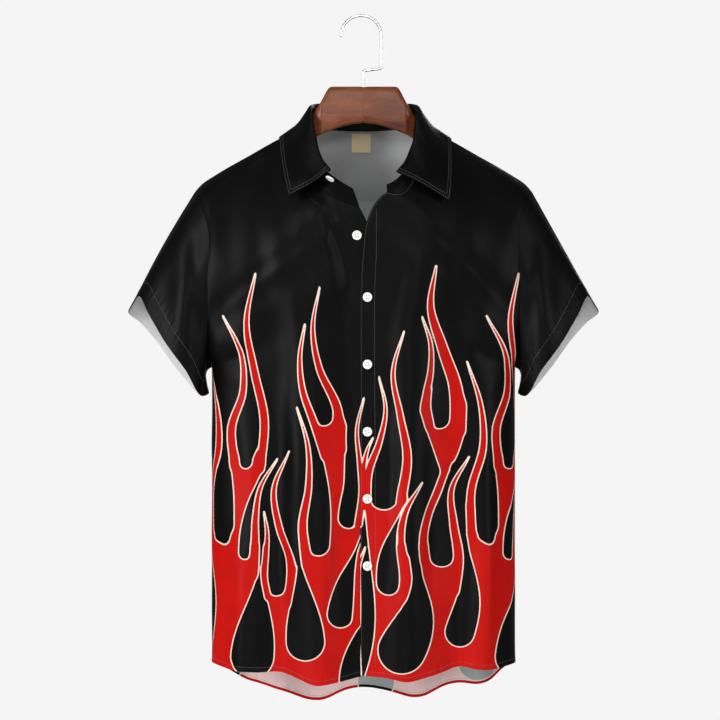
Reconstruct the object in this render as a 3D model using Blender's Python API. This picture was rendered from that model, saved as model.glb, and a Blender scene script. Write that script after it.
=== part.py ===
"""A short-sleeved button shirt with a stand collar, hanging on a contoured wooden hanger.

Frame: +X to the viewer's right, +Y away from the viewer, +Z up. The origin is under the crown of the
hanger's hook, where a rail carries it. Sizes are in millimetres, and MM turns them into Blender's metres.
"Over" is the front that lies on top and has the buttonholes, at +X; "under" carries the buttons, at -X.
"""

import math

import bpy
import numpy as np
from mathutils import Vector
from mathutils.bvhtree import BVHTree

MM = 0.001
HOLD = np.array((-3.0, 0.0, 0.0))  # the hook's crown, from the hanger's middle

# Cloth and seams
CLOTH = 1.2  # wall of one layer of the body's cloth, seams and all
COLLAR_CLOTH = 1.6  # two layers and their interfacing
SEAM = 0.3  # gap between two pieces where they are sewn
LAP = 2.0  # how far the over front lies in front of the under front
LAP_START_Z = -252.0
CLEAR = 1.1  # least gap that the collar keeps to what it falls on

# Body: half the width, the side seam and how square the hanging body's section is
SIDE_X = 199.5
SIDE_HEM_Z = -850.0
ARMPIT_Z = -462.0
SQUARENESS = 2.5
SHOULDER_SQUARENESS = 1.4
BACK_DEPTH = 60.0
YOKE_Z = -240.0  # yoke seam at the centre of the back
YOKE_RISE = 20.0  # how much lower the seam is where it meets the armholes

# Rows and columns of the panels
SIDE_ROWS = 12  # hem to armpit
ARMHOLE_ROWS = 12  # armpit to shoulder tip
SHOULDER_ROW = 0.972  # the last row below the shoulder seam, where the cloth rounds the hanger's arm
NECK_SHOULDER_ROW = 0.93
STAND_END_COLUMNS = 2  # of the stand's end beyond the leaf
UNDER_LEAF_END = 0.278  # how far along the neck the leaf starts, from the under side's front end
OVER_LEAF_END = 0.1226  # and from the over side's
NECK_ROWS = 9  # front corner to the side of the neck
YOKE_ROWS = 4
PANEL_COLUMNS = 14  # side to front edge, and along a shoulder seam
BACK_NECK_COLUMNS = 9
SLEEVE_ROWS = 7
LEAF_SHARES = (0, 0.06, 0.14, 0.32, 0.54, 0.77, 1)  # columns from the fold to the outer edge

# Buttons
BUTTON_RADIUS = 6.1
BUTTON_THICKNESS = 2.6
BUTTON_HOLE_RADIUS = 0.8
BUTTON_HOLE_OFFSET = 1.6
BUTTON_X = 5.5
TOP_BUTTON_Z = -371.5
BUTTON_PITCH = 87.0
FASTENED_BUTTONS = 5

# Hook
WIRE_RADIUS = 1.8
HOOK_RADIUS = 24.7  # inside of the bow
JOG_RADIUS = 4.0
JOG_Z = -68.5  # the wire steps back over the hanger's middle
JOG_DROP = 2.0
HANGER_TOP_Z = -92.0

OPEN_BUTTON_X = -8.5
OPEN_BUTTON_Z = -291.5
BAND_BUTTON_X = -41.5
BAND_BUTTON_Z = -219.8
BAND_BUTTON_FACE = (-0.46, -0.22, -0.86)  # it hangs tipped on its thread, so the front sees its edge

LABEL_SIZE = 25.5
LABEL_CLOTH = 1.0
LABEL_LOW_Z = -174.5


def columns(names, *rows):
    """A table's rows as one array for each named column."""
    return dict(zip(names.split(), np.array(rows, float).T))


# Half an armhole, from the armpit to the shoulder tip. out is |X|, and deep is how far in front or behind.
ARMHOLE = columns(
    "out deep z",
    (199.5, 0, ARMPIT_Z),
    (201.5, 22, -444),
    (203, 37, -405),
    (203.5, 45, -358),
    (201.5, 45, -318),
    (202, 40, -287),
    (209, 31, -257),
    (216, 19, -239),
    (222, 0, -231),
)

# Shoulder seam, from the shoulder tip to the side of the neck, along the top of the hanger's arm.
SHOULDER = columns(
    "out y z",
    (222, 0, -231),
    (214, 0, -222),
    (195, 0, -209),
    (150, 1, -183),
    (112, 2, -161.5),
    (94, 3, -152.5),
    (81, 4, -147),
)

# Free front edges, from the hem to the corner under the collar.
OVER_EDGE = columns(
    "x y z",
    (-4, -60, -861),
    (-4, -62, -750),
    (-4, -64, -590),
    (-4, -66, -470),
    (-4, -67, -390),
    (-3, -68, -345),
    (-0.5, -70, -308),
    (3.6, -72, -276),
    (12, -74, -255),
    (22, -76, -242),
    (30, -77, -236.5),
)
UNDER_EDGE = columns(
    "x y z",
    (17, -60, -861),
    (17, -62, -750),
    (17, -64, -590),
    (17, -66, -470),
    (17, -67, -390),
    (16, -68, -345),
    (11, -70, -308),
    (4, -71.5, -274),
    (-5, -75, -256),
)

# Collar, from the front end of each side to the side of the neck: the seam to the body and the fold at the
# top of the stand. The over side's end leans back into the neck, and the under side's end stands up.
OVER_COLLAR = columns(
    "seam_x seam_y seam_z fold_x fold_y fold_z",
    (30, -77, -236.5, 30, -54, -226),
    (38, -77, -238.5, 40, -56, -221),
    (48, -76, -238, 49, -60, -213),
    (58, -71, -229, 57.5, -57, -202),
    (68, -58, -206, 64, -47, -179),
    (76, -40, -184, 67, -31, -159),
    (80.5, -16, -160, 69, -14, -137),
    (81, 4, -147, 69.5, 4, -124),
)
UNDER_COLLAR = columns(
    "seam_x seam_y seam_z fold_x fold_y fold_z",
    (-5, -75, -256, -13.5, -66, -231.5),
    (-20, -73, -252, -25, -64, -224.5),
    (-35, -71, -245, -36.2, -62, -217.2),
    (-49, -65, -236, -47, -57, -208),
    (-61, -53, -220, -55.7, -47, -192.4),
    (-69, -41, -204, -60.5, -37, -177),
    (-75, -29, -187, -63.1, -28, -162),
    (-80, -12, -164, -67, -12, -141),
    (-81, 4, -147, -68, 4, -124),
)
BACK_COLLAR = columns(
    "seam_x seam_y seam_z fold_x fold_y fold_z",
    (-81, 4, -147, -68, 4, -124),
    (-69, 30, -144.5, -59, 27, -118),
    (-40, 49, -145, -36, 43, -115.5),
    (0, 56, -146, 0, 50, -115),
    (40, 49, -145, 37, 43, -115.5),
    (69, 30, -144.5, 60, 27, -118),
    (81, 4, -147, 69.5, 4, -124),
)

# Leaf of the collar, from its under tip round the back to its over tip: where it leaves the fold, how its
# fall passes the outside of the stand, and its outer edge. The first and last rows are its front edges.
LEAF = columns(
    "fold_x fold_y fold_z fall_x fall_y fall_z edge_x edge_y edge_z",
    (-45, -58, -210, -60, -77, -221, -96.6, -72, -241),
    (-55, -48, -193.5, -70, -67, -205, -101, -64, -224),
    (-61.5, -34, -172.5, -77, -49, -184, -105, -49, -205),
    (-67, -12, -141, -82, -25, -156, -108.5, -26, -179),
    (-68, 4, -124, -84, 2.5, -138, -110, 2, -158),
    (-59, 27, -118, -72, 38, -134, -85, 46, -162),
    (-36, 43, -115.5, -41, 56, -133, -45, 66, -163),
    (0, 50, -115, 0, 65, -133, 0, 71, -163),
    (37, 43, -115.5, 42, 56, -133, 46, 66, -163),
    (60, 27, -118, 73, 38, -134, 87, 46, -162),
    (69.5, 4, -124, 86, 2.5, -138, 114, 2, -159),
    (69, -14, -137, 86, -26, -152, 115, -26, -180),
    (67, -31, -159, 80, -50, -174, 114.5, -50, -206),
    (63, -48, -182, 72, -70, -198, 113, -66, -230),
    (49, -60, -212, 65.5, -81, -221, 111, -72, -247.5),
)

# Hems: the height of the edge at places across the shirt, with the dips of the folds.
FRONT_HEM = columns(
    "x z",
    (-199.5, -850), (-170, -857.5), (-134, -859), (-108, -857.5), (-86, -865), (-62, -875), (-30, -869.5),
    (-2, -862.5), (29, -863.5), (56, -869.5), (93, -861), (124, -850.5), (150, -855.5), (167, -856),
    (183, -853), (199.5, -850),
)  # fmt: skip
BACK_HEM = columns(
    "x z",
    (-199.5, -850), (-173, -870), (-158, -881), (-132, -888), (-103, -897.5), (-74, -911), (-52, -912),
    (-32, -899), (-14, -892), (5, -890.5), (33, -897.5), (62, -908), (80, -907), (110, -888), (128, -883.5),
    (154, -888), (170, -882), (182, -866), (199.5, -850),
)  # fmt: skip

# Soft upright folds: where each is at the hem and at the chest, its half width, how far it stands out of
# the panel at the hem and at the chest (a trough is negative), and the height at which it has faded.
FOLD = "hem_x chest_x width hem chest top"
FRONT_FOLDS = columns(
    FOLD,
    (-160, -150, 24, 9, 1, -440),
    (-108, -118, 24, -8, -2, -330),
    (-60, -76, 30, 12, 4, -250),
    (-2, -18, 26, -5, -5, -262),
    (56, 74, 30, 12, 4, -240),
    (122, 112, 26, -10, -3, -300),
    (160, 152, 24, 9, 1, -440),
)
BACK_FOLDS = columns(
    FOLD,
    (-158, -140, 24, 8, 1, -430),
    (-112, -104, 24, -8, -2, -360),
    (-62, -58, 28, 12, 3, -300),
    (-4, -2, 28, -9, -3, -290),
    (64, 58, 30, 12, 3, -320),
    (126, 108, 26, -9, -2, -360),
    (162, 146, 24, 8, 1, -440),
)

# Right cuff's edge, from the top fold down its front half, and down its back half. The left one mirrors it.
CUFF_FRONT = columns(
    "out y z",
    (304.5, 3, -378),
    (296, -12, -368.5),
    (280, -33, -394),
    (258, -46, -430),
    (231, -42, -467),
    (211, -27, -500),
    (204, -14, -497),
    (204.5, -2, -493),
)
CUFF_BACK = columns(
    "out y z",
    (304.5, 3, -378),
    (311.5, 17, -389.5),
    (297.5, 34, -403),
    (280, 40, -423),
    (247, 33, -467),
    (214.5, 18, -499.5),
    (204.5, -2, -493),
)
UNDER_ROLL = 3.0  # how far the cloth of the sleeve at -X rolls out over the shoulder tip
SLEEVE_FOLDS = columns(FOLD, (232, 233, 17, 5, 2, -260), (264, 256, 17, -3, -1, -290))

# Hanger, from its middle to the end of an arm: top and bottom edge, middle in depth and half thickness.
HANGER = columns(
    "out top bottom y half corner",
    (0, -92, -140, 0, 6.5, 0.4),
    (14, -92, -141, 0, 6.5, 0.4),
    (30, -92, -145, 0, 6.5, 0.4),
    (44, -92, -150, 0, 6.6, 0.4),
    (47, -94.5, -151, 0, 6.6, 0.45),
    (56, -112, -155, 0, 6.8, 0.5),
    (62, -121.5, -158, 1.5, 5.8, 0.7),
    (69, -131.5, -163, 3, 4.8, 0.9),
    (80, -149.5, -172, 4, 4.5, 1),
    (94, -155.3, -181, 3.5, 6.5, 1),
    (112, -164.4, -192, 2, 8, 1),
    (150, -186.2, -211, 1, 8.5, 1),
    (182, -204.7, -229, 0, 8.5, 1),
    (196, -215, -234, 0, 6.5, 1),
    (200, -220, -230, 0, 4, 1),
)
ARM_START = 84.0  # the cloth lies on the arm from here out
ARM_CLEAR = 2.3

MATERIALS = {
    "black_cloth": ((0.012, 0.011, 0.011), 0.5, 0.0),
    "print_cloth": ((0.25, 0.01, 0.008), 0.5, 0.0),
    "button": ((0.88, 0.88, 0.86), 0.25, 0.0),
    "label": ((0.55, 0.44, 0.24), 0.8, 0.0),
    "wood": ((0.21, 0.06, 0.022), 0.35, 0.0),
    "chrome": ((0.8, 0.8, 0.82), 0.12, 1.0),
}


def in_frame(points):
    """Points measured from the hanger's middle, in metres from where the hook is held."""
    return (np.array(points) - HOLD) * MM


def joined(table, *names):
    """Named columns side by side, as points."""
    return np.stack([table[name] for name in names], axis=1)


def along(points, shares):
    """The places at these shares of the way along the smooth curve through some points.

    The way is measured by the first three coordinates, so that two lines can be sampled together.
    """
    steps = np.linalg.norm(np.diff(points[:, :3], axis=0), axis=1)
    knots = np.concatenate([[0], np.cumsum(steps)]) / steps.sum()
    slopes = np.gradient(points, knots, axis=0)
    k = np.clip(np.searchsorted(knots, shares, side="right") - 1, 0, len(knots) - 2)
    span = (knots[k + 1] - knots[k])[:, None]
    f = (shares - knots[k])[:, None] / span
    return (
        (1 + 2 * f) * (1 - f) ** 2 * points[k]
        + f * (1 - f) ** 2 * span * slopes[k]
        + f**2 * (3 - 2 * f) * points[k + 1]
        + f**2 * (f - 1) * span * slopes[k + 1]
    )


def evenly(points, intervals):
    return along(points, np.linspace(0, 1, intervals + 1))


def smoothstep(low, high, x):
    f = np.clip((x - low) / (high - low), 0, 1)
    return f * f * (3 - 2 * f)


def spread(count):
    """Column places from a side seam (0) to the middle (1), closer together where the cloth turns the corner."""
    even = np.linspace(0, 1, count)
    return 0.35 * even + 0.65 * (1 - np.cos(even * math.pi / 2))


def section(share, squareness):
    """Depth across a hanging panel, from 0 at the side seam to 1 at the middle, as a superellipse's quarter."""
    return (1 - (1 - share) ** squareness) ** (1 / squareness)


def fold_depth(folds, x, z, hem_z):
    """How far the soft folds stand out of a panel at these places."""
    out = np.zeros_like(x)
    for k in range(len(folds["width"])):
        down = smoothstep(folds["top"][k], hem_z, z)
        middle = folds["chest_x"][k] + (folds["hem_x"][k] - folds["chest_x"][k]) * down
        height = folds["chest"][k] + (folds["hem"][k] - folds["chest"][k]) * down
        fade = smoothstep(folds["top"][k], folds["top"][k] - 90, z)
        out += height * fade * np.exp(-(((x - middle) / folds["width"][k]) ** 2))
    return out


def side_line():
    """One side from the hem to the armpit and up the armhole to the shoulder tip, as out, deep, z."""
    seam = np.linspace((SIDE_X, 0, SIDE_HEM_Z), (SIDE_X, 0, ARMPIT_Z), SIDE_ROWS + 1)
    shares = np.append(np.linspace(0, 1, ARMHOLE_ROWS)[:-1], [SHOULDER_ROW, 1])
    armhole = along(joined(ARMHOLE, "out", "deep", "z"), shares)
    return np.concatenate([seam, armhole[1:]])


def over_arm(grid, skip_top=True):
    """Moves cloth near the hanger's arm out of it, so that it rounds the arm before it falls."""
    rows = grid[:-1] if skip_top else grid
    out = np.abs(rows[..., 0])
    top, bottom, middle, half = (
        np.interp(out, HANGER["out"], HANGER[name]) for name in ("top", "bottom", "y", "half")
    )
    dy = (rows[..., 1] - middle) / (half + ARM_CLEAR)
    dz = (rows[..., 2] - (top + bottom) / 2) / ((top - bottom) / 2 + ARM_CLEAR)
    far = np.maximum(np.hypot(dy, dz), 1e-6)
    near = (far < 1) & (out > ARM_START) & (out < HANGER["out"][-1] + 2)
    push = np.where(near, 1 / far, 1.0)
    rows[..., 1] = middle + dy * push * (half + ARM_CLEAR)
    rows[..., 2] = (top + bottom) / 2 + dz * push * ((top - bottom) / 2 + ARM_CLEAR)


def shares_of(points):
    """How far along a line each of its points is, from 0 to 1."""
    steps = np.linalg.norm(np.diff(points, axis=0), axis=1)
    return np.concatenate([[0], np.cumsum(steps)]) / steps.sum()


def coons(left, right, bottom, top, u, v):
    """The patch inside four edges. left and right are over v, and bottom and top over u."""
    across = left[:, None] * (1 - u) + right[:, None] * u
    up = bottom[None] * (1 - v) + top[None] * v
    corners = (bottom[0] * (1 - u) + bottom[-1] * u) * (1 - v) + (top[0] * (1 - u) + top[-1] * u) * v
    return across + up - corners


def collar_lines(table, shares):
    """The collar's seam and its fold, sampled together."""
    both = joined(table, *(f"{line}_{axis}" for line in ("seam", "fold") for axis in "xyz"))
    both = along(both, shares)
    return both[:, :3], both[:, 3:]


def neck_shares(leaf_end):
    """From the stand's front end, by the end of the leaf, to a row close to the shoulder seam and the seam."""
    rows = NECK_ROWS - STAND_END_COLUMNS
    stand_end = np.linspace(0, leaf_end, STAND_END_COLUMNS + 1)
    return np.concatenate([stand_end, np.linspace(leaf_end, NECK_SHOULDER_ROW, rows)[1:], [1]])


def back_neck_shares():
    return np.linspace(0, 1, BACK_NECK_COLUMNS + 2)


def front_panel(sign, edge, collar, leaf_end, lap):
    """One front as a grid of points: rows from hem to shoulder, columns from side seam to front edge."""
    side = side_line() * (sign, -1, 1)
    free = evenly(joined(edge, "x", "y", "z"), SIDE_ROWS + ARMHOLE_ROWS - NECK_ROWS)
    neck = collar_lines(collar, neck_shares(leaf_end))[0]
    free[:, 1] -= lap * smoothstep(LAP_START_Z, LAP_START_Z - 20, free[:, 2])
    front = np.concatenate([free, neck[1:]])
    share = spread(PANEL_COLUMNS)
    v = shares_of(side)
    shoulder = along(joined(SHOULDER, "out", "y", "z") * (sign, 1, 1), share)
    hem = side[0] + share[:, None] * (front[0] - side[0])
    hem[:, 2] = np.interp(hem[:, 0], FRONT_HEM["x"], FRONT_HEM["z"])
    hem[[0, -1], 2] = side[0, 2], front[0, 2]
    grid = coons(side, front, hem, shoulder, share[None, :, None], v[:, None, None])
    x, z = grid[..., 0], grid[..., 2]
    # Below the armpit the section closes at the side seam. Above it, it opens into the armhole.
    open_side = smoothstep(SIDE_ROWS, SIDE_ROWS + 4, np.arange(len(side)))[:, None]
    squareness = SQUARENESS + (SHOULDER_SQUARENESS - SQUARENESS) * open_side
    bow = section(share[None, :], squareness)
    depth = side[:, None, 1] + (front[:, None, 1] - side[:, None, 1]) * bow
    top = smoothstep(0.8, 1, v)[:, None]
    depth = depth * (1 - top) + grid[..., 1] * top
    edge_fade = smoothstep(0, 0.22, share)[None, :] * (1 - smoothstep(0.82, 0.97, v))[:, None]
    grid[..., 1] = depth - fold_depth(FRONT_FOLDS, x, z, -850) * edge_fade
    over_arm(grid)
    return grid


def back_panels(under, over):
    """The yoke and the back as two grids, with rows going up and columns from -X to +X."""
    side = side_line()[: SIDE_ROWS + ARMHOLE_ROWS + 1]
    split = SIDE_ROWS + ARMHOLE_ROWS - YOKE_ROWS
    left, right = side * (-1, 1, 1), side.copy()
    neck = collar_lines(BACK_COLLAR, back_neck_shares())[0]
    top = np.concatenate([under[-1], neck[1:-1], over[-1][::-1]])
    u = (top[:, 0] - top[0, 0]) / (top[-1, 0] - top[0, 0])
    seam = left[split] + (right[split] - left[split]) * u[:, None]
    middle = 1 - np.abs(2 * u - 1)
    bow = section(middle, 1.6)
    seam[:, 1] = left[split, 1] + (BACK_DEPTH - 4 - left[split, 1]) * bow
    seam[:, 2] = left[split, 2] + (YOKE_Z - left[split, 2]) * section(middle, 2)
    rows = shares_of(left[split:])[:, None, None]
    ends = left[split:, None] * (1 - u[None, :, None]) + right[split:, None] * u[None, :, None]
    yoke = ends + (seam - ends[0]) * (1 - rows) + (top - ends[-1]) * rows ** np.array((1, 1.6, 1.0))
    over_arm(yoke)
    lower = split + 1
    v = shares_of(left[:lower])
    hem = left[0] + (right[0] - left[0]) * u[:, None]
    hem[:, 2] = np.interp(hem[:, 0], BACK_HEM["x"], BACK_HEM["z"])
    back = coons(left[:lower], right[:lower], hem, seam, u[None, :, None], v[:, None, None])
    open_side = smoothstep(SIDE_ROWS, split, np.arange(lower))[:, None]
    squareness = SQUARENESS + (1.6 - SQUARENESS) * open_side
    centre = BACK_DEPTH - 4 * v[:, None]
    bow = section(middle[None, :], squareness)
    back[..., 1] = left[:lower, None, 1] + (centre - left[:lower, None, 1]) * bow
    fade = smoothstep(0, 0.22, middle)[None, :] * (1 - smoothstep(0.85, 1, v))[:, None]
    back[..., 1] += fold_depth(BACK_FOLDS, back[..., 0], back[..., 2], -880) * fade
    return yoke, back


def sleeve(sign, front, back, yoke):
    """A sleeve as a closed loop of columns round the armhole, with rows from the armhole to the cuff."""
    column = 0 if sign < 0 else -1
    down_front = front[SIDE_ROWS:, 0][::-1]
    up_back = np.concatenate([back[SIDE_ROWS:, column], yoke[1:, column]])[1:-1]
    loop = np.concatenate([down_front, up_back])
    halves = []
    for table, count in ((CUFF_FRONT, len(down_front) - 1), (CUFF_BACK, len(up_back) + 1)):
        halves.append(evenly(joined(table, "out", "y", "z"), count))
    cuff = np.concatenate([halves[0], halves[1][::-1][1:-1]])
    cuff[:, 0] *= sign
    rows = np.linspace(0, 1, SLEEVE_ROWS)[:, None, None]
    # Under the arm the cloth leaves the armhole outwards before it hangs beside the body.
    low = smoothstep(-425, ARMPIT_Z, loop[:, 2])[:, None]
    bend = (loop + cuff) / 2 * (1 - low) + (loop + (sign * 14, 0, -3)) * low
    grid = loop * (1 - rows) ** 2 + bend * 2 * rows * (1 - rows) + cuff * rows**2
    # The cloth rolls over the shoulder tip before it hangs.
    roll = np.sin(rows[..., 0] * math.pi) * np.exp(-(((np.arange(len(loop))[None] + 0.0) / 3) ** 2))
    grid[..., 0] -= UNDER_ROLL * roll * (sign < 0)
    forward = smoothstep(0, -25, grid[..., 1]) * np.sin(np.clip(rows[..., 0] * 1.25, 0, 1) * math.pi / 2)
    grid[..., 1] -= forward * fold_depth(SLEEVE_FOLDS, np.abs(grid[..., 0]), grid[..., 2], -480)
    return grid


def normals_of(grid, closed):
    """Unit normals of a grid by differences along its rows and columns."""
    if closed:
        wide = np.concatenate([grid[:, -1:], grid, grid[:, :1]], axis=1)
        along_u = wide[:, 2:] - wide[:, :-2]
    else:
        along_u = np.gradient(grid, axis=1)
    normal = np.cross(along_u, np.gradient(grid, axis=0))
    return normal / np.maximum(np.linalg.norm(normal, axis=2, keepdims=True), 1e-9)


def share_normals(panels, thickness):
    """Gives each piece its offsets for the two sides of its wall, and how far its border stops short.

    Where two pieces meet at a seam their walls meet in a mitre. Where the cloth creases sharply there, each
    wall keeps its own square end, and stops short of the other instead.
    """
    found = {}
    for grid, normal, _ in panels.values():
        for point, direction in zip(grid.reshape(-1, 3), normal.reshape(-1, 3)):
            found.setdefault(tuple(np.round(point, 2)), []).append(direction)
    for name, (grid, normal, closed) in panels.items():
        offset = normal.copy()
        inset = np.full(grid.shape[:2], SEAM if name == "collar_stand" else SEAM / 2)
        flat, own, short = offset.reshape(-1, 3), normal.reshape(-1, 3), inset.reshape(-1)
        for k, point in enumerate(grid.reshape(-1, 3)):
            mean = np.sum(found[tuple(np.round(point, 2))], axis=0)
            mean /= max(np.linalg.norm(mean), 1e-9)
            share = np.clip(float(mean @ own[k]), 0.3, 1)
            square = smoothstep(0.8, 0.6, share)
            flat[k] = mean / share * (1 - square) + own[k] * square
            short[k] += square * thickness[name] / 2 * math.tan(math.acos(share))
        panels[name] = (grid, normal, offset, inset, closed)


def drawn_in(grid, normal, inset, closed):
    """The grid with its border moved in within the cloth, so that it stops short of each seam."""
    moved = grid.copy()
    every = slice(None)
    borders = [(0, every, 1, every), (-1, every, -2, every)]
    if not closed:
        borders += [(every, 0, every, 1), (every, -1, every, -2)]
    for row, col, next_row, next_col in borders:
        line = grid[row, col]
        if closed:
            tangent = np.roll(line, -1, axis=0) - np.roll(line, 1, axis=0)
        else:
            tangent = np.gradient(line, axis=0)
        inward = np.cross(normal[row, col], tangent)
        inward /= np.maximum(np.linalg.norm(inward, axis=1, keepdims=True), 1e-9)
        side = np.sum(inward * (grid[next_row, next_col] - line), axis=1)
        # One sign for the whole border, where most of it looks inwards.
        inward *= 1 if np.sum(np.sign(side)) > 0 else -1
        moved[row, col] += inward * inset[row, col][:, None]
    return moved


def wall_mesh(name, outer, inner, closed):
    """A closed mesh between two grids of the same shape."""
    rows, cols = outer.shape[:2]
    points = np.concatenate([outer.reshape(-1, 3), inner.reshape(-1, 3)])
    back = rows * cols

    def at(r, c):
        return r * cols + c % cols

    faces = []
    spans = cols if closed else cols - 1
    middle = (points[:back] + points[back:]) / 2
    for r in range(rows - 1):
        for c in range(spans):
            a, b, d, e = at(r, c), at(r, c + 1), at(r + 1, c + 1), at(r + 1, c)
            # Both sides of the wall are split along the same diagonal, the shorter one.
            if np.linalg.norm(middle[a] - middle[d]) < np.linalg.norm(middle[b] - middle[e]):
                halves = ((a, b, d), (a, d, e))
            else:
                halves = ((a, b, e), (b, d, e))
            for half in halves:
                faces.append(half)
                faces.append(tuple(back + k for k in reversed(half)))
    for c in range(spans):
        faces.append((at(0, c + 1), at(0, c), back + at(0, c), back + at(0, c + 1)))
        top = rows - 1
        faces.append((at(top, c), at(top, c + 1), back + at(top, c + 1), back + at(top, c)))
    if not closed:
        for r in range(rows - 1):
            faces.append((at(r, 0), at(r + 1, 0), back + at(r + 1, 0), back + at(r, 0)))
            c = cols - 1
            faces.append((at(r + 1, c), at(r, c), back + at(r, c), back + at(r + 1, c)))
    mesh = bpy.data.meshes.new(name)
    mesh.from_pydata([tuple(p) for p in in_frame(points)], [], faces)
    return mesh


def add_object(name, mesh, material):
    """Puts a mesh in the scene as one named piece."""
    obj = bpy.data.objects.new(name, mesh)
    bpy.context.scene.collection.objects.link(obj)
    mesh.materials.append(material)
    return obj


def closed_outward(obj):
    """Turns a closed mesh the right way out."""
    volume = 0.0
    mesh = obj.data
    mesh.calc_loop_triangles()
    for tri in mesh.loop_triangles:
        a, b, c = (mesh.vertices[k].co for k in tri.vertices)
        volume += a.dot(b.cross(c))
    if volume < 0:
        mesh.flip_normals()
    mesh.shade_smooth()
    mesh.set_sharp_from_angle(angle=math.radians(50))
    return obj


def cloth_wall(name, grid, normal, offset, inset, closed, thickness, material):
    """One cut piece of cloth, half its thickness to each side of its grid."""
    middle = drawn_in(grid, normal, inset, closed)
    outer = middle + offset * thickness / 2
    inner = middle - offset * thickness / 2
    return closed_outward(add_object(name, wall_mesh(name, outer, inner, closed), material))


def leaf_grid(covered, stand):
    """The collar's leaf: up off the stand's fold, over, and down to its outer edge, clear of what it covers."""
    lines = joined(LEAF, *(f"{part}_{axis}" for part in ("fold", "fall", "edge") for axis in "xyz"))
    dense = evenly(lines, 600)
    ends = STAND_END_COLUMNS
    tops = stand[-1, ends:-ends]
    ups = tops - stand[-2, ends:-ends]
    tangents = np.gradient(tops, axis=0)
    tangents /= np.linalg.norm(tangents, axis=1, keepdims=True)
    ups -= np.sum(ups * tangents, axis=1, keepdims=True) * tangents  # square to the stand's top edge
    ups /= np.linalg.norm(ups, axis=1, keepdims=True)
    outs = normals_of(stand[:, ::-1], False)[-1, ::-1][ends:-ends]
    grid = []
    for k, (top, up, out) in enumerate(zip(tops, ups, outs)):
        at = np.argmin(np.linalg.norm(dense[:, :3] - top, axis=1))
        at = {0: 0, len(tops) - 1: len(dense) - 1}.get(k, at)
        middle, end = dense[at, 3:6], dense[at, 6:]
        start = top + up * (COLLAR_CLOTH / 2 + 2 * SEAM)
        crest = start + out * 3.5 + up * 2.4
        grid.append(along(np.array([start, crest, middle, end]), np.array(LEAF_SHARES)))
    grid = np.array(grid)
    keep = CLEAR + (CLOTH + COLLAR_CLOTH) / 2
    stand = tree_of([stand])
    for r in range(grid.shape[0]):
        for c in range(1, grid.shape[1]):
            place, normal, _, near = covered.find_nearest(Vector(grid[r, c]))
            off = Vector(grid[r, c]) - place
            if off.dot(normal) < 0 and near < 6:
                grid[r, c] += np.array(normal) * (keep + near)
            elif near < keep:
                grid[r, c] += np.array(off) / max(near, 1e-6) * (keep - near)
            place, _, _, near = stand.find_nearest(Vector(grid[r, c]))
            least = COLLAR_CLOTH + CLEAR
            if near < least:
                grid[r, c] += (grid[r, c] - np.array(place)) / max(near, 1e-6) * (least - near)
    return grid


def tree_of(grids):
    """One searchable surface of several grids, with its faces pointing out of the shirt."""
    points, faces = [], []
    for grid in grids:
        base, (rows, cols) = len(points), grid.shape[:2]
        points += [tuple(p) for p in grid.reshape(-1, 3)]
        for r in range(rows - 1):
            for c in range(cols - 1):
                k = base + r * cols + c
                faces.append((k, k + 1, k + cols + 1, k + cols))
    return BVHTree.FromPolygons(points, faces)


def button(name, place, direction, material):
    """A four-hole button, its back at a place and its face towards a direction."""
    rings = columns(
        "radius height",
        (BUTTON_RADIUS * 0.86, 0),
        (BUTTON_RADIUS, 0.7),
        (BUTTON_RADIUS, BUTTON_THICKNESS - 0.7),
        (BUTTON_RADIUS * 0.86, BUTTON_THICKNESS),
        (BUTTON_RADIUS * 0.68, BUTTON_THICKNESS - 0.1),
        (BUTTON_RADIUS * 0.6, BUTTON_THICKNESS - 0.7),
    )
    sides = 20
    points, faces = [], []
    for radius, height in zip(rings["radius"], rings["height"]):
        for k in range(sides):
            turn = 2 * math.pi * k / sides
            points.append((radius * math.cos(turn), radius * math.sin(turn), height))
    for ring in range(len(rings["radius"]) - 1):
        for k in range(sides):
            a, b = ring * sides + k, ring * sides + (k + 1) % sides
            faces.append((a, b, b + sides, a + sides))
    faces.append(tuple(reversed(range(sides))))
    faces.append(tuple(range(len(points) - sides, len(points))))
    mesh = bpy.data.meshes.new(name)
    mesh.from_pydata([Vector(p) * MM for p in points], [], faces)
    obj = add_object(name, mesh, material)
    cutter = hole_cutter(name)
    cut = obj.modifiers.new("thread_holes", "BOOLEAN")
    cut.operation, cut.solver, cut.object = "DIFFERENCE", "EXACT", cutter
    turn = Vector(direction).to_track_quat("Z", "Y")
    for piece in (obj, cutter):
        piece.rotation_mode = "QUATERNION"
        piece.rotation_quaternion = turn
        piece.location = in_frame(place)
    return closed_outward(obj)


def on_surface(grid, x, z, front=True):
    """Where a line along Y at this x and z meets a grid, and the direction out of the shirt there."""
    tree = tree_of([grid])
    start = Vector((x, -300 if front else 300, z))
    place, normal, _, _ = tree.ray_cast(start, Vector((0, 1 if front else -1, 0)))
    return place, normal if (normal.y < 0) == front else -normal


def add_buttons(over, under, stand, material):
    """The fastened row, the open top button on the under front, and the tipped button of the band."""
    for k in range(FASTENED_BUTTONS):
        place, normal = on_surface(over, BUTTON_X, TOP_BUTTON_Z - k * BUTTON_PITCH)
        button(f"button_{k + 1}", place + normal * (CLOTH / 2 + SEAM), normal, material)
    place, normal = on_surface(under, OPEN_BUTTON_X, OPEN_BUTTON_Z)
    button("button_top", place + normal * (CLOTH / 2 + SEAM), normal, material)
    place, normal = on_surface(stand, BAND_BUTTON_X, BAND_BUTTON_Z)
    tipped = Vector(BAND_BUTTON_FACE).normalized()
    lifted = BUTTON_RADIUS * math.sin(math.acos(min(normal.dot(tipped), 1)))
    button("button_band", place + normal * (COLLAR_CLOTH / 2 + SEAM + lifted), tipped, material)


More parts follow.
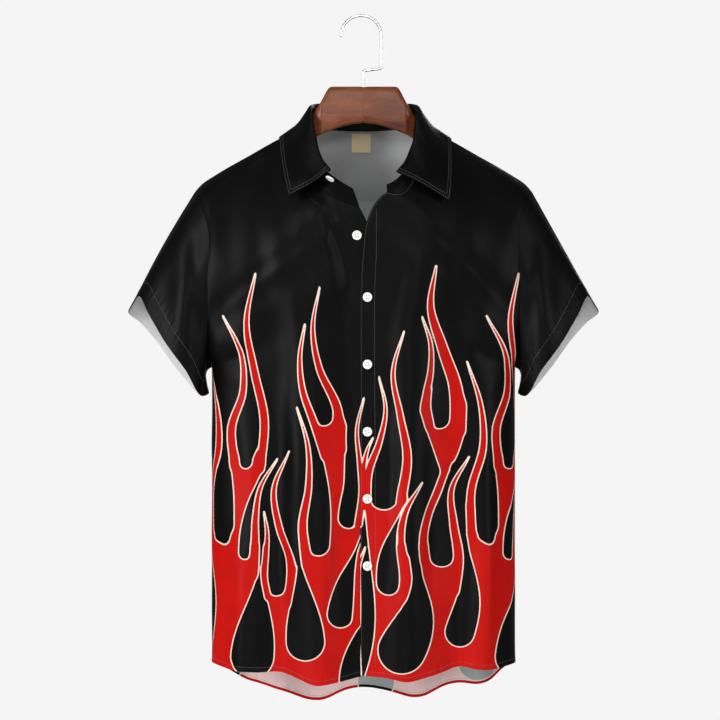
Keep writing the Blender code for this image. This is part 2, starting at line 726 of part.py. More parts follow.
def neck_label(yoke, material):
    """The woven label, which hangs from the stand's seam inside the neck, flat against the yoke."""
    half = LABEL_SIZE / 2
    grid = []
    for z in np.linspace(LABEL_LOW_Z, LABEL_LOW_Z + LABEL_SIZE, 4):
        line = []
        for x in np.linspace(-half, half, 5) + HOLD[0]:
            place, normal = on_surface(yoke, x, z, front=False)
            line.append(place - normal * (CLOTH / 2 + SEAM + LABEL_CLOTH / 2))
        grid.append(line)
    grid = np.array(grid)
    normal = normals_of(grid, False)
    wall = wall_mesh("neck_label", grid + normal * LABEL_CLOTH / 2, grid - normal * LABEL_CLOTH / 2, False)
    return closed_outward(add_object("neck_label", wall, material))


def hole_cutter(name):
    """Four posts that cut a button's thread holes."""
    points, faces = [], []
    sides = 6
    for sx, sy in ((1, 1), (-1, 1), (-1, -1), (1, -1)):
        base = len(points)
        for height in (-1.0, BUTTON_THICKNESS + 1.0):
            for k in range(sides):
                turn = 2 * math.pi * k / sides
                points.append(
                    (
                        sx * BUTTON_HOLE_OFFSET + BUTTON_HOLE_RADIUS * math.cos(turn),
                        sy * BUTTON_HOLE_OFFSET + BUTTON_HOLE_RADIUS * math.sin(turn),
                        height,
                    )
                )
        for k in range(sides):
            a, b = base + k, base + (k + 1) % sides
            faces.append((a, b, b + sides, a + sides))
        faces.append(tuple(base + k for k in reversed(range(sides))))
        faces.append(tuple(base + sides + k for k in range(sides)))
    mesh = bpy.data.meshes.new(f"{name}_holes")
    mesh.from_pydata([Vector(p) * MM for p in points], [], faces)
    cutter = bpy.data.objects.new(f"{name}_holes", mesh)
    bpy.context.scene.collection.objects.link(cutter)
    cutter.hide_render = True
    cutter.display_type = "WIRE"
    return cutter


def hanger_body(material):
    """The wooden hanger: rounded sections from the end of one arm to the end of the other."""
    half = list(joined(HANGER, "out", "top", "bottom", "y", "half", "corner"))
    stations = [row * (-1, 1, 1, 1, 1, 1) for row in reversed(half[1:])] + half
    sides = 12
    points, faces = [], []
    for out, top, bottom, middle, thick, corner in stations:
        for k in range(sides):
            turn = 2 * math.pi * (k + 0.5) / sides
            c, s = math.cos(turn), math.sin(turn)
            y = middle + thick * math.copysign(abs(c) ** corner, c)
            z = (top + bottom) / 2 + (top - bottom) / 2 * math.copysign(abs(s) ** corner, s)
            points.append((out, y, z))
    for ring in range(len(stations) - 1):
        for k in range(sides):
            a, b = ring * sides + k, ring * sides + (k + 1) % sides
            faces.append((a, b, b + sides, a + sides))
    faces.append(tuple(reversed(range(sides))))
    faces.append(tuple(range(len(points) - sides, len(points))))
    mesh = bpy.data.meshes.new("hanger_wood")
    mesh.from_pydata([tuple(p) for p in in_frame(points)], [], faces)
    return closed_outward(add_object("hanger_wood", mesh, material))


def arc(centre, radius, start, end, steps):
    """Points on an arc in the hanger's plane, angles in degrees from +X towards +Z."""
    turns = np.radians(np.linspace(start, end, steps))
    return [(centre[0] + radius * math.cos(t), centre[1] + radius * math.sin(t)) for t in turns]


def hook(material):
    """The hook's wire: its tip, the bow that the rail carries, the shank, and the step back to the middle."""
    bow = HOOK_RADIUS + WIRE_RADIUS
    centre = (HOLD[0], -HOOK_RADIUS)
    right = centre[0] + bow
    line = arc(centre, bow, 180, 0, 17)
    line += arc((right - JOG_RADIUS, JOG_Z + JOG_RADIUS), JOG_RADIUS, 0, -83, 5)
    line += arc((JOG_RADIUS, JOG_Z - JOG_DROP - JOG_RADIUS), JOG_RADIUS, 97, 180, 5)
    line.append((0, HANGER_TOP_Z + SEAM))
    line = np.array(line)
    ways = np.gradient(line, axis=0)
    ways /= np.linalg.norm(ways, axis=1, keepdims=True)
    rings = [(line[0] - ways[0] * WIRE_RADIUS * 0.8, ways[0], 0.45), (line[0] - ways[0] * WIRE_RADIUS * 0.35, ways[0], 0.85)]
    rings += [(place, way, 1.0) for place, way in zip(line, ways)]
    sides = 10
    points, faces = [], []
    for place, way, share in rings:
        for k in range(sides):
            turn = 2 * math.pi * k / sides
            across = WIRE_RADIUS * share * math.cos(turn)
            deep = WIRE_RADIUS * share * math.sin(turn)
            points.append((place[0] - way[1] * across, deep, place[1] + way[0] * across))
    for ring in range(len(rings) - 1):
        for k in range(sides):
            a, b = ring * sides + k, ring * sides + (k + 1) % sides
            faces.append((a, b, b + sides, a + sides))
    faces.append(tuple(reversed(range(sides))))
    faces.append(tuple(range(len(points) - sides, len(points))))
    mesh = bpy.data.meshes.new("hanger_hook")
    mesh.from_pydata([tuple(p) for p in in_frame(points)], [], faces)
    return closed_outward(add_object("hanger_hook", mesh, material))


def make_materials():
    made = {}
    for name, (colour, roughness, metallic) in MATERIALS.items():
        material = bpy.data.materials.new(name)
        material.use_nodes = True
        shader = material.node_tree.nodes["Principled BSDF"]
        shader.inputs["Base Color"].default_value = (*colour, 1)
        shader.inputs["Roughness"].default_value = roughness
        shader.inputs["Metallic"].default_value = metallic
        made[name] = material
    return made


def stand_grid(under, over):
    """The collar's stand, from the under end round the back to the over end, with rows going up."""
    seam, fold = [], []
    for table, shares, turned in (
        (UNDER_COLLAR, neck_shares(UNDER_LEAF_END), False),
        (BACK_COLLAR, back_neck_shares(), False),
        (OVER_COLLAR, neck_shares(OVER_LEAF_END), True),
    ):
        low, high = collar_lines(table, shares)
        if turned:
            low, high = low[::-1], high[::-1]
        first = 1 if seam else 0
        seam += list(low[first:])
        fold += list(high[first:])
    seam, fold = np.array(seam), np.array(fold)
    rows = np.linspace(0, 1, 4)[:, None, None]
    return seam[None] * (1 - rows) + fold[None] * rows


def main():
    for obj in list(bpy.data.objects):
        bpy.data.objects.remove(obj)
    materials = make_materials()
    under = front_panel(-1, UNDER_EDGE, UNDER_COLLAR, UNDER_LEAF_END, 0)
    over = front_panel(1, OVER_EDGE, OVER_COLLAR, OVER_LEAF_END, LAP)
    yoke, back = back_panels(under, over)
    stand = stand_grid(under, over)
    grids = {
        "right_front": (under, False),
        "left_front": (over[:, ::-1], False),
        "back": (back[:, ::-1], False),
        "yoke": (yoke[:, ::-1], False),
        "right_sleeve": (sleeve(-1, under, back, yoke)[::-1], True),
        "left_sleeve": (sleeve(1, over, back, yoke), True),
        "collar_stand": (stand[:, ::-1], False),
    }
    panels = {n: (g, normals_of(g, closed), closed) for n, (g, closed) in grids.items()}
    thickness = {name: COLLAR_CLOTH if name == "collar_stand" else CLOTH for name in panels}
    share_normals(panels, thickness)
    for name, panel in panels.items():
        printed = name in ("right_front", "left_front", "back")
        cloth_wall(name, *panel, thickness[name], materials["print_cloth" if printed else "black_cloth"])
    covered = tree_of([panel[0] for name, panel in panels.items() if name != "collar_stand"])
    leaf = leaf_grid(covered, stand)
    turned = normals_of(leaf, False)
    inset = np.full(leaf.shape[:2], SEAM / 2)
    cloth_wall("collar_leaf", leaf, turned, turned, inset, False, COLLAR_CLOTH, materials["black_cloth"])
    add_buttons(over, under, stand, materials["button"])
    neck_label(yoke, materials["label"])
    hanger_body(materials["wood"])
    hook(materials["chrome"])


main()
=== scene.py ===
"""A black short-sleeved shirt with a hem of flames, hanging on a wooden hanger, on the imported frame.

The tables and the surfaces are the ones that the solids were built from, at a finer detail. Sizes are in
millimetres from the hanger's middle, and in_frame turns them into the frame's metres. "Over" is the front
that lies on top and has the buttonholes, at +X; "under" carries the buttons, at -X.
"""

import math

import bpy
import numpy as np
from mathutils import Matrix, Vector
from mathutils.bvhtree import BVHTree


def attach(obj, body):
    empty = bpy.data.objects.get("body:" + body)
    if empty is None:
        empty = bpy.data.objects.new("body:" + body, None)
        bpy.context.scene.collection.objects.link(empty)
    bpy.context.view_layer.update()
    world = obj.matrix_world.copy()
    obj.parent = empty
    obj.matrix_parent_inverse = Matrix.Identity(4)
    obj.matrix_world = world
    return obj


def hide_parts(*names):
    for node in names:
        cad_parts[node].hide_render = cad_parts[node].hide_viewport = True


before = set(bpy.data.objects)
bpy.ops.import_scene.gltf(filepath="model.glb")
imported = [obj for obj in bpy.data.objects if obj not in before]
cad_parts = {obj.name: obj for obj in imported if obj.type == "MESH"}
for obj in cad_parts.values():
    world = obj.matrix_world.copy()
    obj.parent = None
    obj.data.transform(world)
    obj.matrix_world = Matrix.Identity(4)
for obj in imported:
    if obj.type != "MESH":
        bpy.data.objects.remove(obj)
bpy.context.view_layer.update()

MM = 0.001
BLACK = (0.0022, 0.002, 0.0019)  # the dyed cloth's colour
FLOOR_RADIUS = 2.0  # in metres, like the height
FLOOR_Z = -1.25
HOLD = np.array((-3.0, 0.0, 0.0))  # the hook's crown, from the hanger's middle
DETAIL = 10  # rows here for each row of the solids
FRONT_COLUMNS = 160
BACK_NECK_COLUMNS = 64

# Cloth
CLOTH = 0.8  # one layer
TURNED = 1.3  # where it is turned over and stitched
COLLAR_CLOTH = 1.5
SOLID_CLOTH = 1.2  # the solids' walls
SOLID_COLLAR = 1.6
SEAM = 0.3  # between pieces that are sewn together
LAP = 2.0  # how far the over front stands off the under front
LAP_START_Z = -252.0
CLEAR = 1.1  # between the collar's leaf and what it covers
PLACKET = 20.5  # from the over front's edge to its line of stitches
HEM = 6.0
CUFF = 20.0
YOKE_STITCH = 5.0  # from the seam
FRONT_STITCH_AND_HIGHLIGHT = 1.6  # from the over front's edge: a row of pale stitches that also stands in as the painted highlight where light catches the folded edge
LEAF_STITCHES = (1.8, 5.6)  # from the leaf's edges
STITCH_PITCH = 3.0
STITCH_PLACES = np.array((-0.38, -0.27, 0, 0.27, 0.38))  # along a stitch, as shares of its pitch
STITCH_LIFTS = (-0.3, 0.0, 0.1, 0.0, -0.3)  # out of the cloth at these places
THREAD = 0.2  # its radius
THREAD_TURNS = (0.3, 1.55, 2.8, 4.05, 5.3)  # its five sides, as angles
OVER_EDGE_X = -4.0  # the over front's free edge
NECK_Z = -290.0  # below this the free edge runs straight

# Body
SIDE_X = 199.5
SIDE_HEM_Z = -850.0
ARMPIT_Z = -462.0
SQUARENESS = 2.5
YOKE_SQUARENESS = 1.6
SHOULDER_SQUARENESS = 1.4
BACK_DEPTH = 60.0
BACK_LEAN = 4.0  # how much less deep the back is at its top
BODY_CENTRE = (0, 0, -500)
HALF_WIDTH = 204.0
HALF_DEPTH = 64.0
FOLD_FADE = 90.0  # the height over which a fold fades at its top
YOKE_Z = -240.0
SIDE_ROWS = 12
ARMHOLE_ROWS = 12
STAND_END_COLUMNS = 2
UNDER_LEAF_END = 0.278
OVER_LEAF_END = 0.1226
NECK_ROWS = 9
YOKE_ROWS = 4
SLEEVE_ROWS = 7
LEAF_SHARES = (0, 0.06, 0.14, 0.32, 0.54, 0.77, 1)
LEAF_DETAIL = 8
CREST_OUT = 3.5  # how the leaf rises off the stand before it falls
CREST_UP = 2.4

# Buttons
BUTTON_RADIUS = 6.1
BUTTON_HOLE_RADIUS = 0.8
BUTTON_HOLE_OFFSET = 1.6
STRAND_RADIUS = 0.2  # two strands pass through each pair of holes
STRAND_GAP = 0.22
BUTTON_X = 5.5
TOP_BUTTON_Z = -371.5
BUTTON_PITCH = 87.0
BUTTON_SPINS = (0.1, -0.25, 0.35, 0.05, -0.4)  # the five that are fastened, from the top
OPEN_BUTTON_X = -8.5
OPEN_BUTTON_Z = -291.5
BAND_BUTTON_X = -41.5
BAND_BUTTON_Z = -219.8
BAND_BUTTON_FACE = (-0.46, -0.22, -0.86)

# Hook
WIRE_RADIUS = 1.8
HOOK_RADIUS = 24.7
JOG_RADIUS = 4.0
JOG_Z = -68.5
JOG_DROP = 2.0
HANGER_TOP_Z = -92.0

LABEL_SIZE = 25.5
LABEL_CLOTH = 0.9
LABEL_LOW_Z = -174.5


def columns(names, *rows):
    """A table's rows as one array for each named column."""
    return dict(zip(names.split(), np.array(rows, float).T))


# Half an armhole, from the armpit to the shoulder tip. out is |X|, and deep is how far in front or behind.
ARMHOLE = columns(
    "out deep z",
    (199.5, 0, ARMPIT_Z),
    (201.5, 22, -444),
    (203, 37, -405),
    (203.5, 45, -358),
    (201.5, 45, -318),
    (202, 40, -287),
    (209, 31, -257),
    (216, 19, -239),
    (222, 0, -231),
)

# Shoulder seam, from the shoulder tip to the side of the neck, along the top of the hanger's arm.
SHOULDER = columns(
    "out y z",
    (222, 0, -231),
    (214, 0, -222),
    (195, 0, -209),
    (150, 1, -183),
    (112, 2, -161.5),
    (94, 3, -152.5),
    (81, 4, -147),
)

# Free front edges, from the hem to the corner under the collar.
OVER_EDGE = columns(
    "x y z",
    (-4, -60, -861),
    (-4, -62, -750),
    (-4, -64, -590),
    (-4, -66, -470),
    (-4, -67, -390),
    (-3, -68, -345),
    (-0.5, -70, -308),
    (3.6, -72, -276),
    (12, -74, -255),
    (22, -76, -242),
    (30, -77, -236.5),
)
UNDER_EDGE = columns(
    "x y z",
    (17, -60, -861),
    (17, -62, -750),
    (17, -64, -590),
    (17, -66, -470),
    (17, -67, -390),
    (16, -68, -345),
    (11, -70, -308),
    (4, -71.5, -274),
    (-5, -75, -256),
)

# Collar, from the front end of each side to the side of the neck: the seam to the body and the fold at the
# top of the stand. The over side's end leans back into the neck, and the under side's end stands up.
OVER_COLLAR = columns(
    "seam_x seam_y seam_z fold_x fold_y fold_z",
    (30, -77, -236.5, 30, -54, -226),
    (38, -77, -238.5, 40, -56, -221),
    (48, -76, -238, 49, -60, -213),
    (58, -71, -229, 57.5, -57, -202),
    (68, -58, -206, 64, -47, -179),
    (76, -40, -184, 67, -31, -159),
    (80.5, -16, -160, 69, -14, -137),
    (81, 4, -147, 69.5, 4, -124),
)
UNDER_COLLAR = columns(
    "seam_x seam_y seam_z fold_x fold_y fold_z",
    (-5, -75, -256, -13.5, -66, -231.5),
    (-20, -73, -252, -25, -64, -224.5),
    (-35, -71, -245, -36.2, -62, -217.2),
    (-49, -65, -236, -47, -57, -208),
    (-61, -53, -220, -55.7, -47, -192.4),
    (-69, -41, -204, -60.5, -37, -177),
    (-75, -29, -187, -63.1, -28, -162),
    (-80, -12, -164, -67, -12, -141),
    (-81, 4, -147, -68, 4, -124),
)
BACK_COLLAR = columns(
    "seam_x seam_y seam_z fold_x fold_y fold_z",
    (-81, 4, -147, -68, 4, -124),
    (-69, 30, -144.5, -59, 27, -118),
    (-40, 49, -145, -36, 43, -115.5),
    (0, 56, -146, 0, 50, -115),
    (40, 49, -145, 37, 43, -115.5),
    (69, 30, -144.5, 60, 27, -118),
    (81, 4, -147, 69.5, 4, -124),
)

# Leaf of the collar, from its under tip round the back to its over tip: where it leaves the fold, how its
# fall passes the outside of the stand, and its outer edge. The first and last rows are its front edges.
LEAF = columns(
    "fold_x fold_y fold_z fall_x fall_y fall_z edge_x edge_y edge_z",
    (-45, -58, -210, -60, -77, -221, -96.6, -72, -241),
    (-55, -48, -193.5, -70, -67, -205, -101, -64, -224),
    (-61.5, -34, -172.5, -77, -49, -184, -105, -49, -205),
    (-67, -12, -141, -82, -25, -156, -108.5, -26, -179),
    (-68, 4, -124, -84, 2.5, -138, -110, 2, -158),
    (-59, 27, -118, -72, 38, -134, -85, 46, -162),
    (-36, 43, -115.5, -41, 56, -133, -45, 66, -163),
    (0, 50, -115, 0, 65, -133, 0, 71, -163),
    (37, 43, -115.5, 42, 56, -133, 46, 66, -163),
    (60, 27, -118, 73, 38, -134, 87, 46, -162),
    (69.5, 4, -124, 86, 2.5, -138, 114, 2, -159),
    (69, -14, -137, 86, -26, -152, 115, -26, -180),
    (67, -31, -159, 80, -50, -174, 114.5, -50, -206),
    (63, -48, -182, 72, -70, -198, 113, -66, -230),
    (49, -60, -212, 65.5, -81, -221, 111, -72, -247.5),
)

# Hems: the height of the edge at places across the shirt, with the dips of the folds.
FRONT_HEM = columns(
    "x z",
    (-199.5, -850), (-170, -857.5), (-134, -859), (-108, -857.5), (-86, -865), (-62, -875), (-30, -869.5),
    (-2, -862.5), (29, -863.5), (56, -869.5), (93, -861), (124, -850.5), (150, -855.5), (167, -856),
    (183, -853), (199.5, -850),
)  # fmt: skip
BACK_HEM = columns(
    "x z",
    (-199.5, -850), (-173, -870), (-158, -881), (-132, -888), (-103, -897.5), (-74, -911), (-52, -912),
    (-32, -899), (-14, -892), (5, -890.5), (33, -897.5), (62, -908), (80, -907), (110, -888), (128, -883.5),
    (154, -888), (170, -882), (182, -866), (199.5, -850),
)  # fmt: skip

# Soft upright folds: where each is at the hem and at the chest, its half width, how far it stands out of
# the panel at the hem and at the chest (a trough is negative), and the height at which it has faded.
FOLD = "hem_x chest_x width hem chest top"
FRONT_FOLDS = columns(
    FOLD,
    (-160, -150, 24, 9, 1, -440),
    (-108, -118, 24, -8, -2, -330),
    (-60, -76, 30, 12, 4, -250),
    (-2, -18, 26, -5, -5, -262),
    (56, 74, 30, 12, 4, -240),
    (122, 112, 26, -10, -3, -300),
    (160, 152, 24, 9, 1, -440),
)
BACK_FOLDS = columns(
    FOLD,
    (-158, -140, 24, 8, 1, -430),
    (-112, -104, 24, -8, -2, -360),
    (-62, -58, 28, 12, 3, -300),
    (-4, -2, 28, -9, -3, -290),
    (64, 58, 30, 12, 3, -320),
    (126, 108, 26, -9, -2, -360),
    (162, 146, 24, 8, 1, -440),
)

# Right cuff's edge, from the top fold down its front half, and down its back half. The left one mirrors it.
CUFF_FRONT = columns(
    "out y z",
    (304.5, 3, -378),
    (296, -12, -368.5),
    (280, -33, -394),
    (258, -46, -430),
    (231, -42, -467),
    (211, -27, -500),
    (204, -14, -497),
    (204.5, -2, -493),
)
CUFF_BACK = columns(
    "out y z",
    (304.5, 3, -378),
    (311.5, 17, -389.5),
    (297.5, 34, -403),
    (280, 40, -423),
    (247, 33, -467),
    (214.5, 18, -499.5),
    (204.5, -2, -493),
)
SLEEVE_FOLDS = columns(FOLD, (232, 233, 17, 5, 2, -260), (264, 256, 17, -3, -1, -290))

HANGER = columns(
    "out top bottom y half corner",
    (0, -92, -140, 0, 6.5, 0.4),
    (14, -92, -141, 0, 6.5, 0.4),
    (30, -92, -145, 0, 6.5, 0.4),
    (44, -92, -150, 0, 6.6, 0.4),
    (47, -94.5, -151, 0, 6.6, 0.45),
    (56, -112, -155, 0, 6.8, 0.5),
    (62, -121.5, -158, 1.5, 5.8, 0.7),
    (69, -131.5, -163, 3, 4.8, 0.9),
    (80, -149.5, -172, 4, 4.5, 1),
    (94, -155.3, -181, 3.5, 6.5, 1),
    (112, -164.4, -192, 2, 8, 1),
    (150, -186.2, -211, 1, 8.5, 1),
    (182, -204.7, -229, 0, 8.5, 1),
    (196, -215, -234, 0, 6.5, 1),
    (200, -220, -230, 0, 4, 1),
)
ARM_START = 84.0  # the cloth lies on the arm from here out
ARM_CLEAR = 2.3
UNDER_ROLL = 3.0

# A button's profile, from its back to the middle of its face, as shares of its radius and heights.
BUTTON = columns(
    "radius height",
    (0.80, 0), (0.93, 0.12), (0.985, 0.45), (1.0, 0.9), (1.0, 1.65), (0.985, 2.1), (0.94, 2.42),
    (0.87, 2.58), (0.79, 2.52), (0.73, 2.3), (0.68, 2.02), (0.6, 1.9), (0.35, 1.84), (0.1, 1.83),
)  # fmt: skip

# Creases, drawn as soft strokes on the cloth: from and to, how far they bow, half width, and height (a
# trough is negative). Each fades out at both ends.
CREASE = "from_x from_z to_x to_z bow width height"
UNDER_CREASES = columns(
    CREASE,
    (-47, -236, -9, -366, -5, 8, -4.2),  # the drag line from under the leaf
    (-62, -240, -28, -384, -5, 11, 2.6),
    (-74, -262, -58, -440, 5, 15, -1.2),
    (-192, -448, -140, -410, 8, 9, 1.3),  # from the armpit
    (-196, -462, -146, -436, 6, 8, -1.1),
    (-190, -480, -136, -474, 4, 10, 0.9),
    (-186, -330, -168, -440, -4, 13, -1.0),
    (-178, -520, -150, -760, 8, 13, -2.4),
    (-140, -560, -132, -830, -5, 12, 2.2),
    (-92, -330, -90, -856, 3, 15, 4.0),
    (-34, -520, -28, -860, -4, 9, -2.0),
    (-74, -380, -66, -640, 5, 9, 1.6),
    (-112, -270, -98, -470, -4, 16, 1.3),
)
OVER_CREASES = columns(
    CREASE,
    (52, -250, 42, -400, 4, 12, -1.2),
    (78, -262, 72, -480, -3, 14, 1.6),
    (192, -450, 142, -412, -8, 9, 1.4),
    (196, -466, 146, -440, -6, 8, -1.1),
    (188, -486, 140, -492, -4, 10, 0.9),
    (186, -330, 168, -440, 4, 13, -1.0),
    (164, -470, 162, -840, -3, 13, 3.2),
    (139, -520, 136, -830, 3, 11, -2.2),
    (97, -400, 93, -846, -5, 13, -2.6),
    (30, -480, 30, -856, 4, 9, -1.8),
    (57, -330, 58, -850, -3, 15, 3.6),
    (124, -280, 112, -450, 4, 16, 1.0),
)
BACK_CREASES = columns(
    CREASE,
    (-190, -455, -110, -400, 12, 11, 2.6),
    (-194, -480, -120, -470, 6, 10, -2.0),
    (190, -455, 116, -396, -12, 11, 2.6),
    (192, -482, 112, -474, -6, 10, -2.2),
    (-150, -300, -120, -430, -8, 14, 2.0),
    (146, -296, 118, -440, 9, 13, 2.0),
    (-90, -262, -84, -600, 6, 12, -1.8),
    (86, -262, 90, -620, -7, 12, -1.8),
    (-30, -270, -34, -560, -5, 11, 1.8),
    (34, -266, 30, -520, 5, 11, 1.6),
    (-136, -520, -128, -860, 6, 11, 2.2),
    (-30, -600, -26, -880, -5, 10, 2.0),
    (36, -580, 30, -880, 5, 10, -2.0),
    (142, -520, 146, -850, -6, 12, 2.4),
    (-176, -540, -168, -840, 5, 11, -2.2),
    (176, -560, 180, -820, -5, 10, -2.0),
    (-20, -420, 60, -470, 8, 14, 1.4),
    (-100, -560, -30, -640, -8, 16, 1.3),
    (96, -640, 40, -720, 8, 15, 1.3),
)
# on a sleeve, |X| and height
SLEEVE_CREASES = columns(
    CREASE,
    (219, -264, 214, -440, 4, 9, -1.8),
    (240, -280, 240, -430, -4, 13, 1.3),
)

# The print, on the flat cloth: its own units are 1.2936 mm, x to the right and y down, and it repeats.
PRINT_UNIT = 1.2936
PRINT_CENTRE = 363.5
PRINT_TURNS = 192  # millimetres from the middle, where the cloth turns to the side
PRINT_REPEAT = 264.0
PRINT_BASE = 545.0
OUTLINE = 0.7  # half width of the pale line round the flames, in mm
PRINT_LIMIT = 12.0  # millimetres from the edge, beyond which nothing changes
PRINT_FAR = 60.0  # farther from any stroke than this makes no difference
PRINT_STEP = 1.32  # one of the print's units in millimetres, as seen from the front at the hanger's depth
PRINT_TOP = 17.0
VIEW_DISTANCE = 3200.0  # where "as seen from the front" is seen from
VIEW_X = -4.6
VIEW_Z = -452.8
BACK_PRINT_Y = -64.0
BACK_PRINT_TURNED = 735.0  # the back's print runs the other way, from here
BACK_PRINT_LIFT = 14.0
STROKE = "end_x end_y root_x root_y bow sway root middle end"
TONGUES = columns(
    "end_x end_y high middle low root_x root_y root waist end",
    (222.5, 316, 241.2, 243.2, 231.4, 234.4, 466, 4.6, 3.7, 0.6),
    (255.3, 274, 246.5, 254.4, 264.3, 260.4, 469, 4.1, 4.9, 0.7),
    (277.5, 459, 260.3, 255.5, 254.8, 252.5, 575, 5, 3.0, 0.6),
    (290.3, 451, 274.0, 279.3, 292.8, 287.6, 603, 4.2, 4.7, 0.5),
    (264.0, 512, 267.0, 265.8, 264.0, 267.6, 597, 3.4, 3.5, 0.6),
    (297.5, 407, 308.2, 309.0, 303.3, 308.3, 565, 4.7, 3.2, 0.5),
    (305.0, 324.5, 300.3, 303.0, 314.0, 325.0, 456, 4.5, 3.2, 0.7),
    (319.7, 287, 312.8, 319.0, 337.0, 340.8, 449, 5.5, 3.4, 0.5),
    (364.0, 398, 357.0, 359.5, 362.0, 358.5, 524, 4, 2.2, 0.7),
    (365.3, 547.5, 358.7, 357.4, 357.0, 356.2, 624, 4.2, 3.4, 0.6),
    (373.3, 437.5, 368.0, 364.9, 363.3, 362.6, 482, 3, 2.2, 0.5),
    (379.0, 377, 385.6, 379.7, 368.5, 366.0, 505, 5, 2.6, 0.5),
    (404.5, 331, 393.2, 400.5, 407.3, 401.3, 500, 4.8, 3.6, 0.5),
    (422.5, 482.5, 406.0, 401.3, 405.3, 402.6, 597, 4.0, 4.5, 0.6),
    (422.0, 317, 430.6, 430.6, 426.2, 430.0, 426, 4.6, 3.4, 0.6),
    (436.0, 266, 430.5, 442.5, 456.0, 459.0, 430, 6.8, 6.6, 0.8),
    (445.5, 470, 437.7, 428.6, 423.4, 425.2, 560, 5.2, 3.6, 3.4),
    (469.0, 457, 451.4, 453.5, 458.3, 454.0, 590, 5.5, 4.6, 0.6),
    (467.0, 361.5, 480.4, 482.6, 471.2, 471.8, 534, 4.4, 3.9, 0.6),
)
TRUNKS = columns(
    STROKE,
    (247, 464, 236, 562, -0.3, 0, 12, 1, 18),
    (331.6, 428, 335, 520, 1, 0, 9, 8.0, 14.8),
    (337, 520, 322, 575, 0, 0, 25, 22, 14),
    (356, 520, 345, 560, 0, 0, 12, 10, 8),
    (390, 503, 374, 560, 0, 0, 14, 16, 18),
    (443.5, 409, 444.5, 474, 2.6, 0, 2.4, 18, 23.4),
    (470, 505, 477, 562, 0, 0, 14, 5, 3.5),
    (369, 498, 374, 560, 0, 0, 10, 8, 6),
)
# The black drops between the flames, round at the bottom and drawn up into a neck.
DROP = "x bottom end_x end_y bow sway radius neck share"
DROPS = columns(
    DROP,
    (222, 537, 226, 400, -2, 0, 12, 2.5, 0.95),
    (221.6, 542, 222, 530, 0, 0, 8, 8, 1.0),
    (245.5, 468.8, 247, 420, 0, 0, 7, 11.4, 0.35),
    (245, 559.5, 270, 461, -8, 0, 6.4, 1.5, 0.8),
    (276.3, 596, 270, 470, -1, 3, 11.3, 6, 0.9),
    (252.5, 678, 261, 520, 2, 0, 21.5, 1.6, 0.65),
    (305.7, 661, 298, 525, 0, 0, 19, 2.2, 0.67),
    (318.3, 556, 306, 410, 7.5, 0, 11.5, 2.3, 0.93),
    (323.6, 426, 304, 335, 0, 4, 9.6, 2.5, 1.1),
    (348.8, 528.6, 351, 420, 1, 0, 10.4, 2, 0.6),
    (340.5, 628, 362, 536, -3, 0, 13.5, 1.4, 0.85),
    (384, 510, 389, 420, 0, 0, 15.3, 17, 1.0),
    (388.6, 595.3, 409.3, 500, -8, 0, 12.1, 1.6, 0.8),
    (402, 674, 411, 530, 12, 2.5, 24, 5.5, 0.63),
    (439.3, 428.8, 431, 325, 5, 0, 10.3, 2, 1.0),
    (442, 567, 454, 465, -7.5, 0, 13.2, 2.8, 0.83),
    (460, 647, 461, 500, 7, 3, 15, 4, 0.62),
    (298, 566, 291.5, 530, 0, 0, 2.2, 7, 0.8),
    (411.8, 557, 411.5, 528, 0, 0, 6.8, 6.8, 1.0),
    (260.6, 566, 262, 530, 0, 0, 1.8, 2.4, 1.0),
)
UNDER_DROPS = columns(DROP, (358, 700, 371, 606, -3, 0, 19, 1.5, 0.95))
OVER_DROPS = columns(STROKE, (362, 505, 362, 684, 2.3, 3, 0, 18.8, 2.5))


# --- Curves and surfaces ---
def in_frame(points):
    """Points measured from the hanger's middle, in metres from where the hook is held."""
    return (np.array(points) - HOLD) * MM


def joined(table, *names):
    return np.stack([table[name] for name in names], axis=1)


def smoothstep(low, high, x):
    f = np.clip((x - low) / (high - low), 0, 1)
    return f * f * (3 - 2 * f)


def shares_of(points):
    steps = np.linalg.norm(np.diff(points, axis=0), axis=1)
    return np.concatenate([[0], np.cumsum(steps)]) / steps.sum()


def hermite(points, slopes, k, f, span=1.0):
    """The smooth curve's places at a share f of the way from point k to the next."""
    return (
        (1 + 2 * f) * (1 - f) ** 2 * points[k]
        + f * (1 - f) ** 2 * span * slopes[k]
        + f**2 * (3 - 2 * f) * points[k + 1]
        + f**2 * (f - 1) * span * slopes[k + 1]
    )


def along(points, shares):
    """The places at these shares of the way along the smooth curve through some points."""
    knots = shares_of(points[:, :3])
    k = np.clip(np.searchsorted(knots, shares, side="right") - 1, 0, len(knots) - 2)
    span = (knots[k + 1] - knots[k])[:, None]
    return hermite(points, np.gradient(points, knots, axis=0), k, (shares - knots[k])[:, None] / span, span)


def evenly(points, intervals):
    """The smooth curve through some points, cut into so many even steps."""
    return along(points, np.linspace(0, 1, intervals + 1))


def refined(grid, detail):
    """The smooth surface through a coarse grid's points, with so many rows and columns for each of its."""
    for _ in range(2):
        at = np.linspace(0, len(grid) - 1, (len(grid) - 1) * detail + 1)
        k = np.minimum(at.astype(int), len(grid) - 2)
        grid = hermite(grid, np.gradient(grid, axis=0), k, (at - k)[:, None, None]).transpose(1, 0, 2)
    return grid


def section(share, squareness):
    """How deep the body's rounded section is at a share of the way from its side to its middle."""
    return (1 - (1 - share) ** squareness) ** (1 / squareness)


def spread(count):
    """Places from a side seam (0) to the middle (1), evenly along the cloth as it turns the corner."""
    share = np.linspace(0, 1, 4000) ** 3
    way = np.hypot(np.diff(share) * HALF_WIDTH, np.diff(section(share, SQUARENESS)) * HALF_DEPTH)
    way = np.concatenate([[0], np.cumsum(way)])
    return np.interp(np.linspace(0, way[-1], count), way, share)


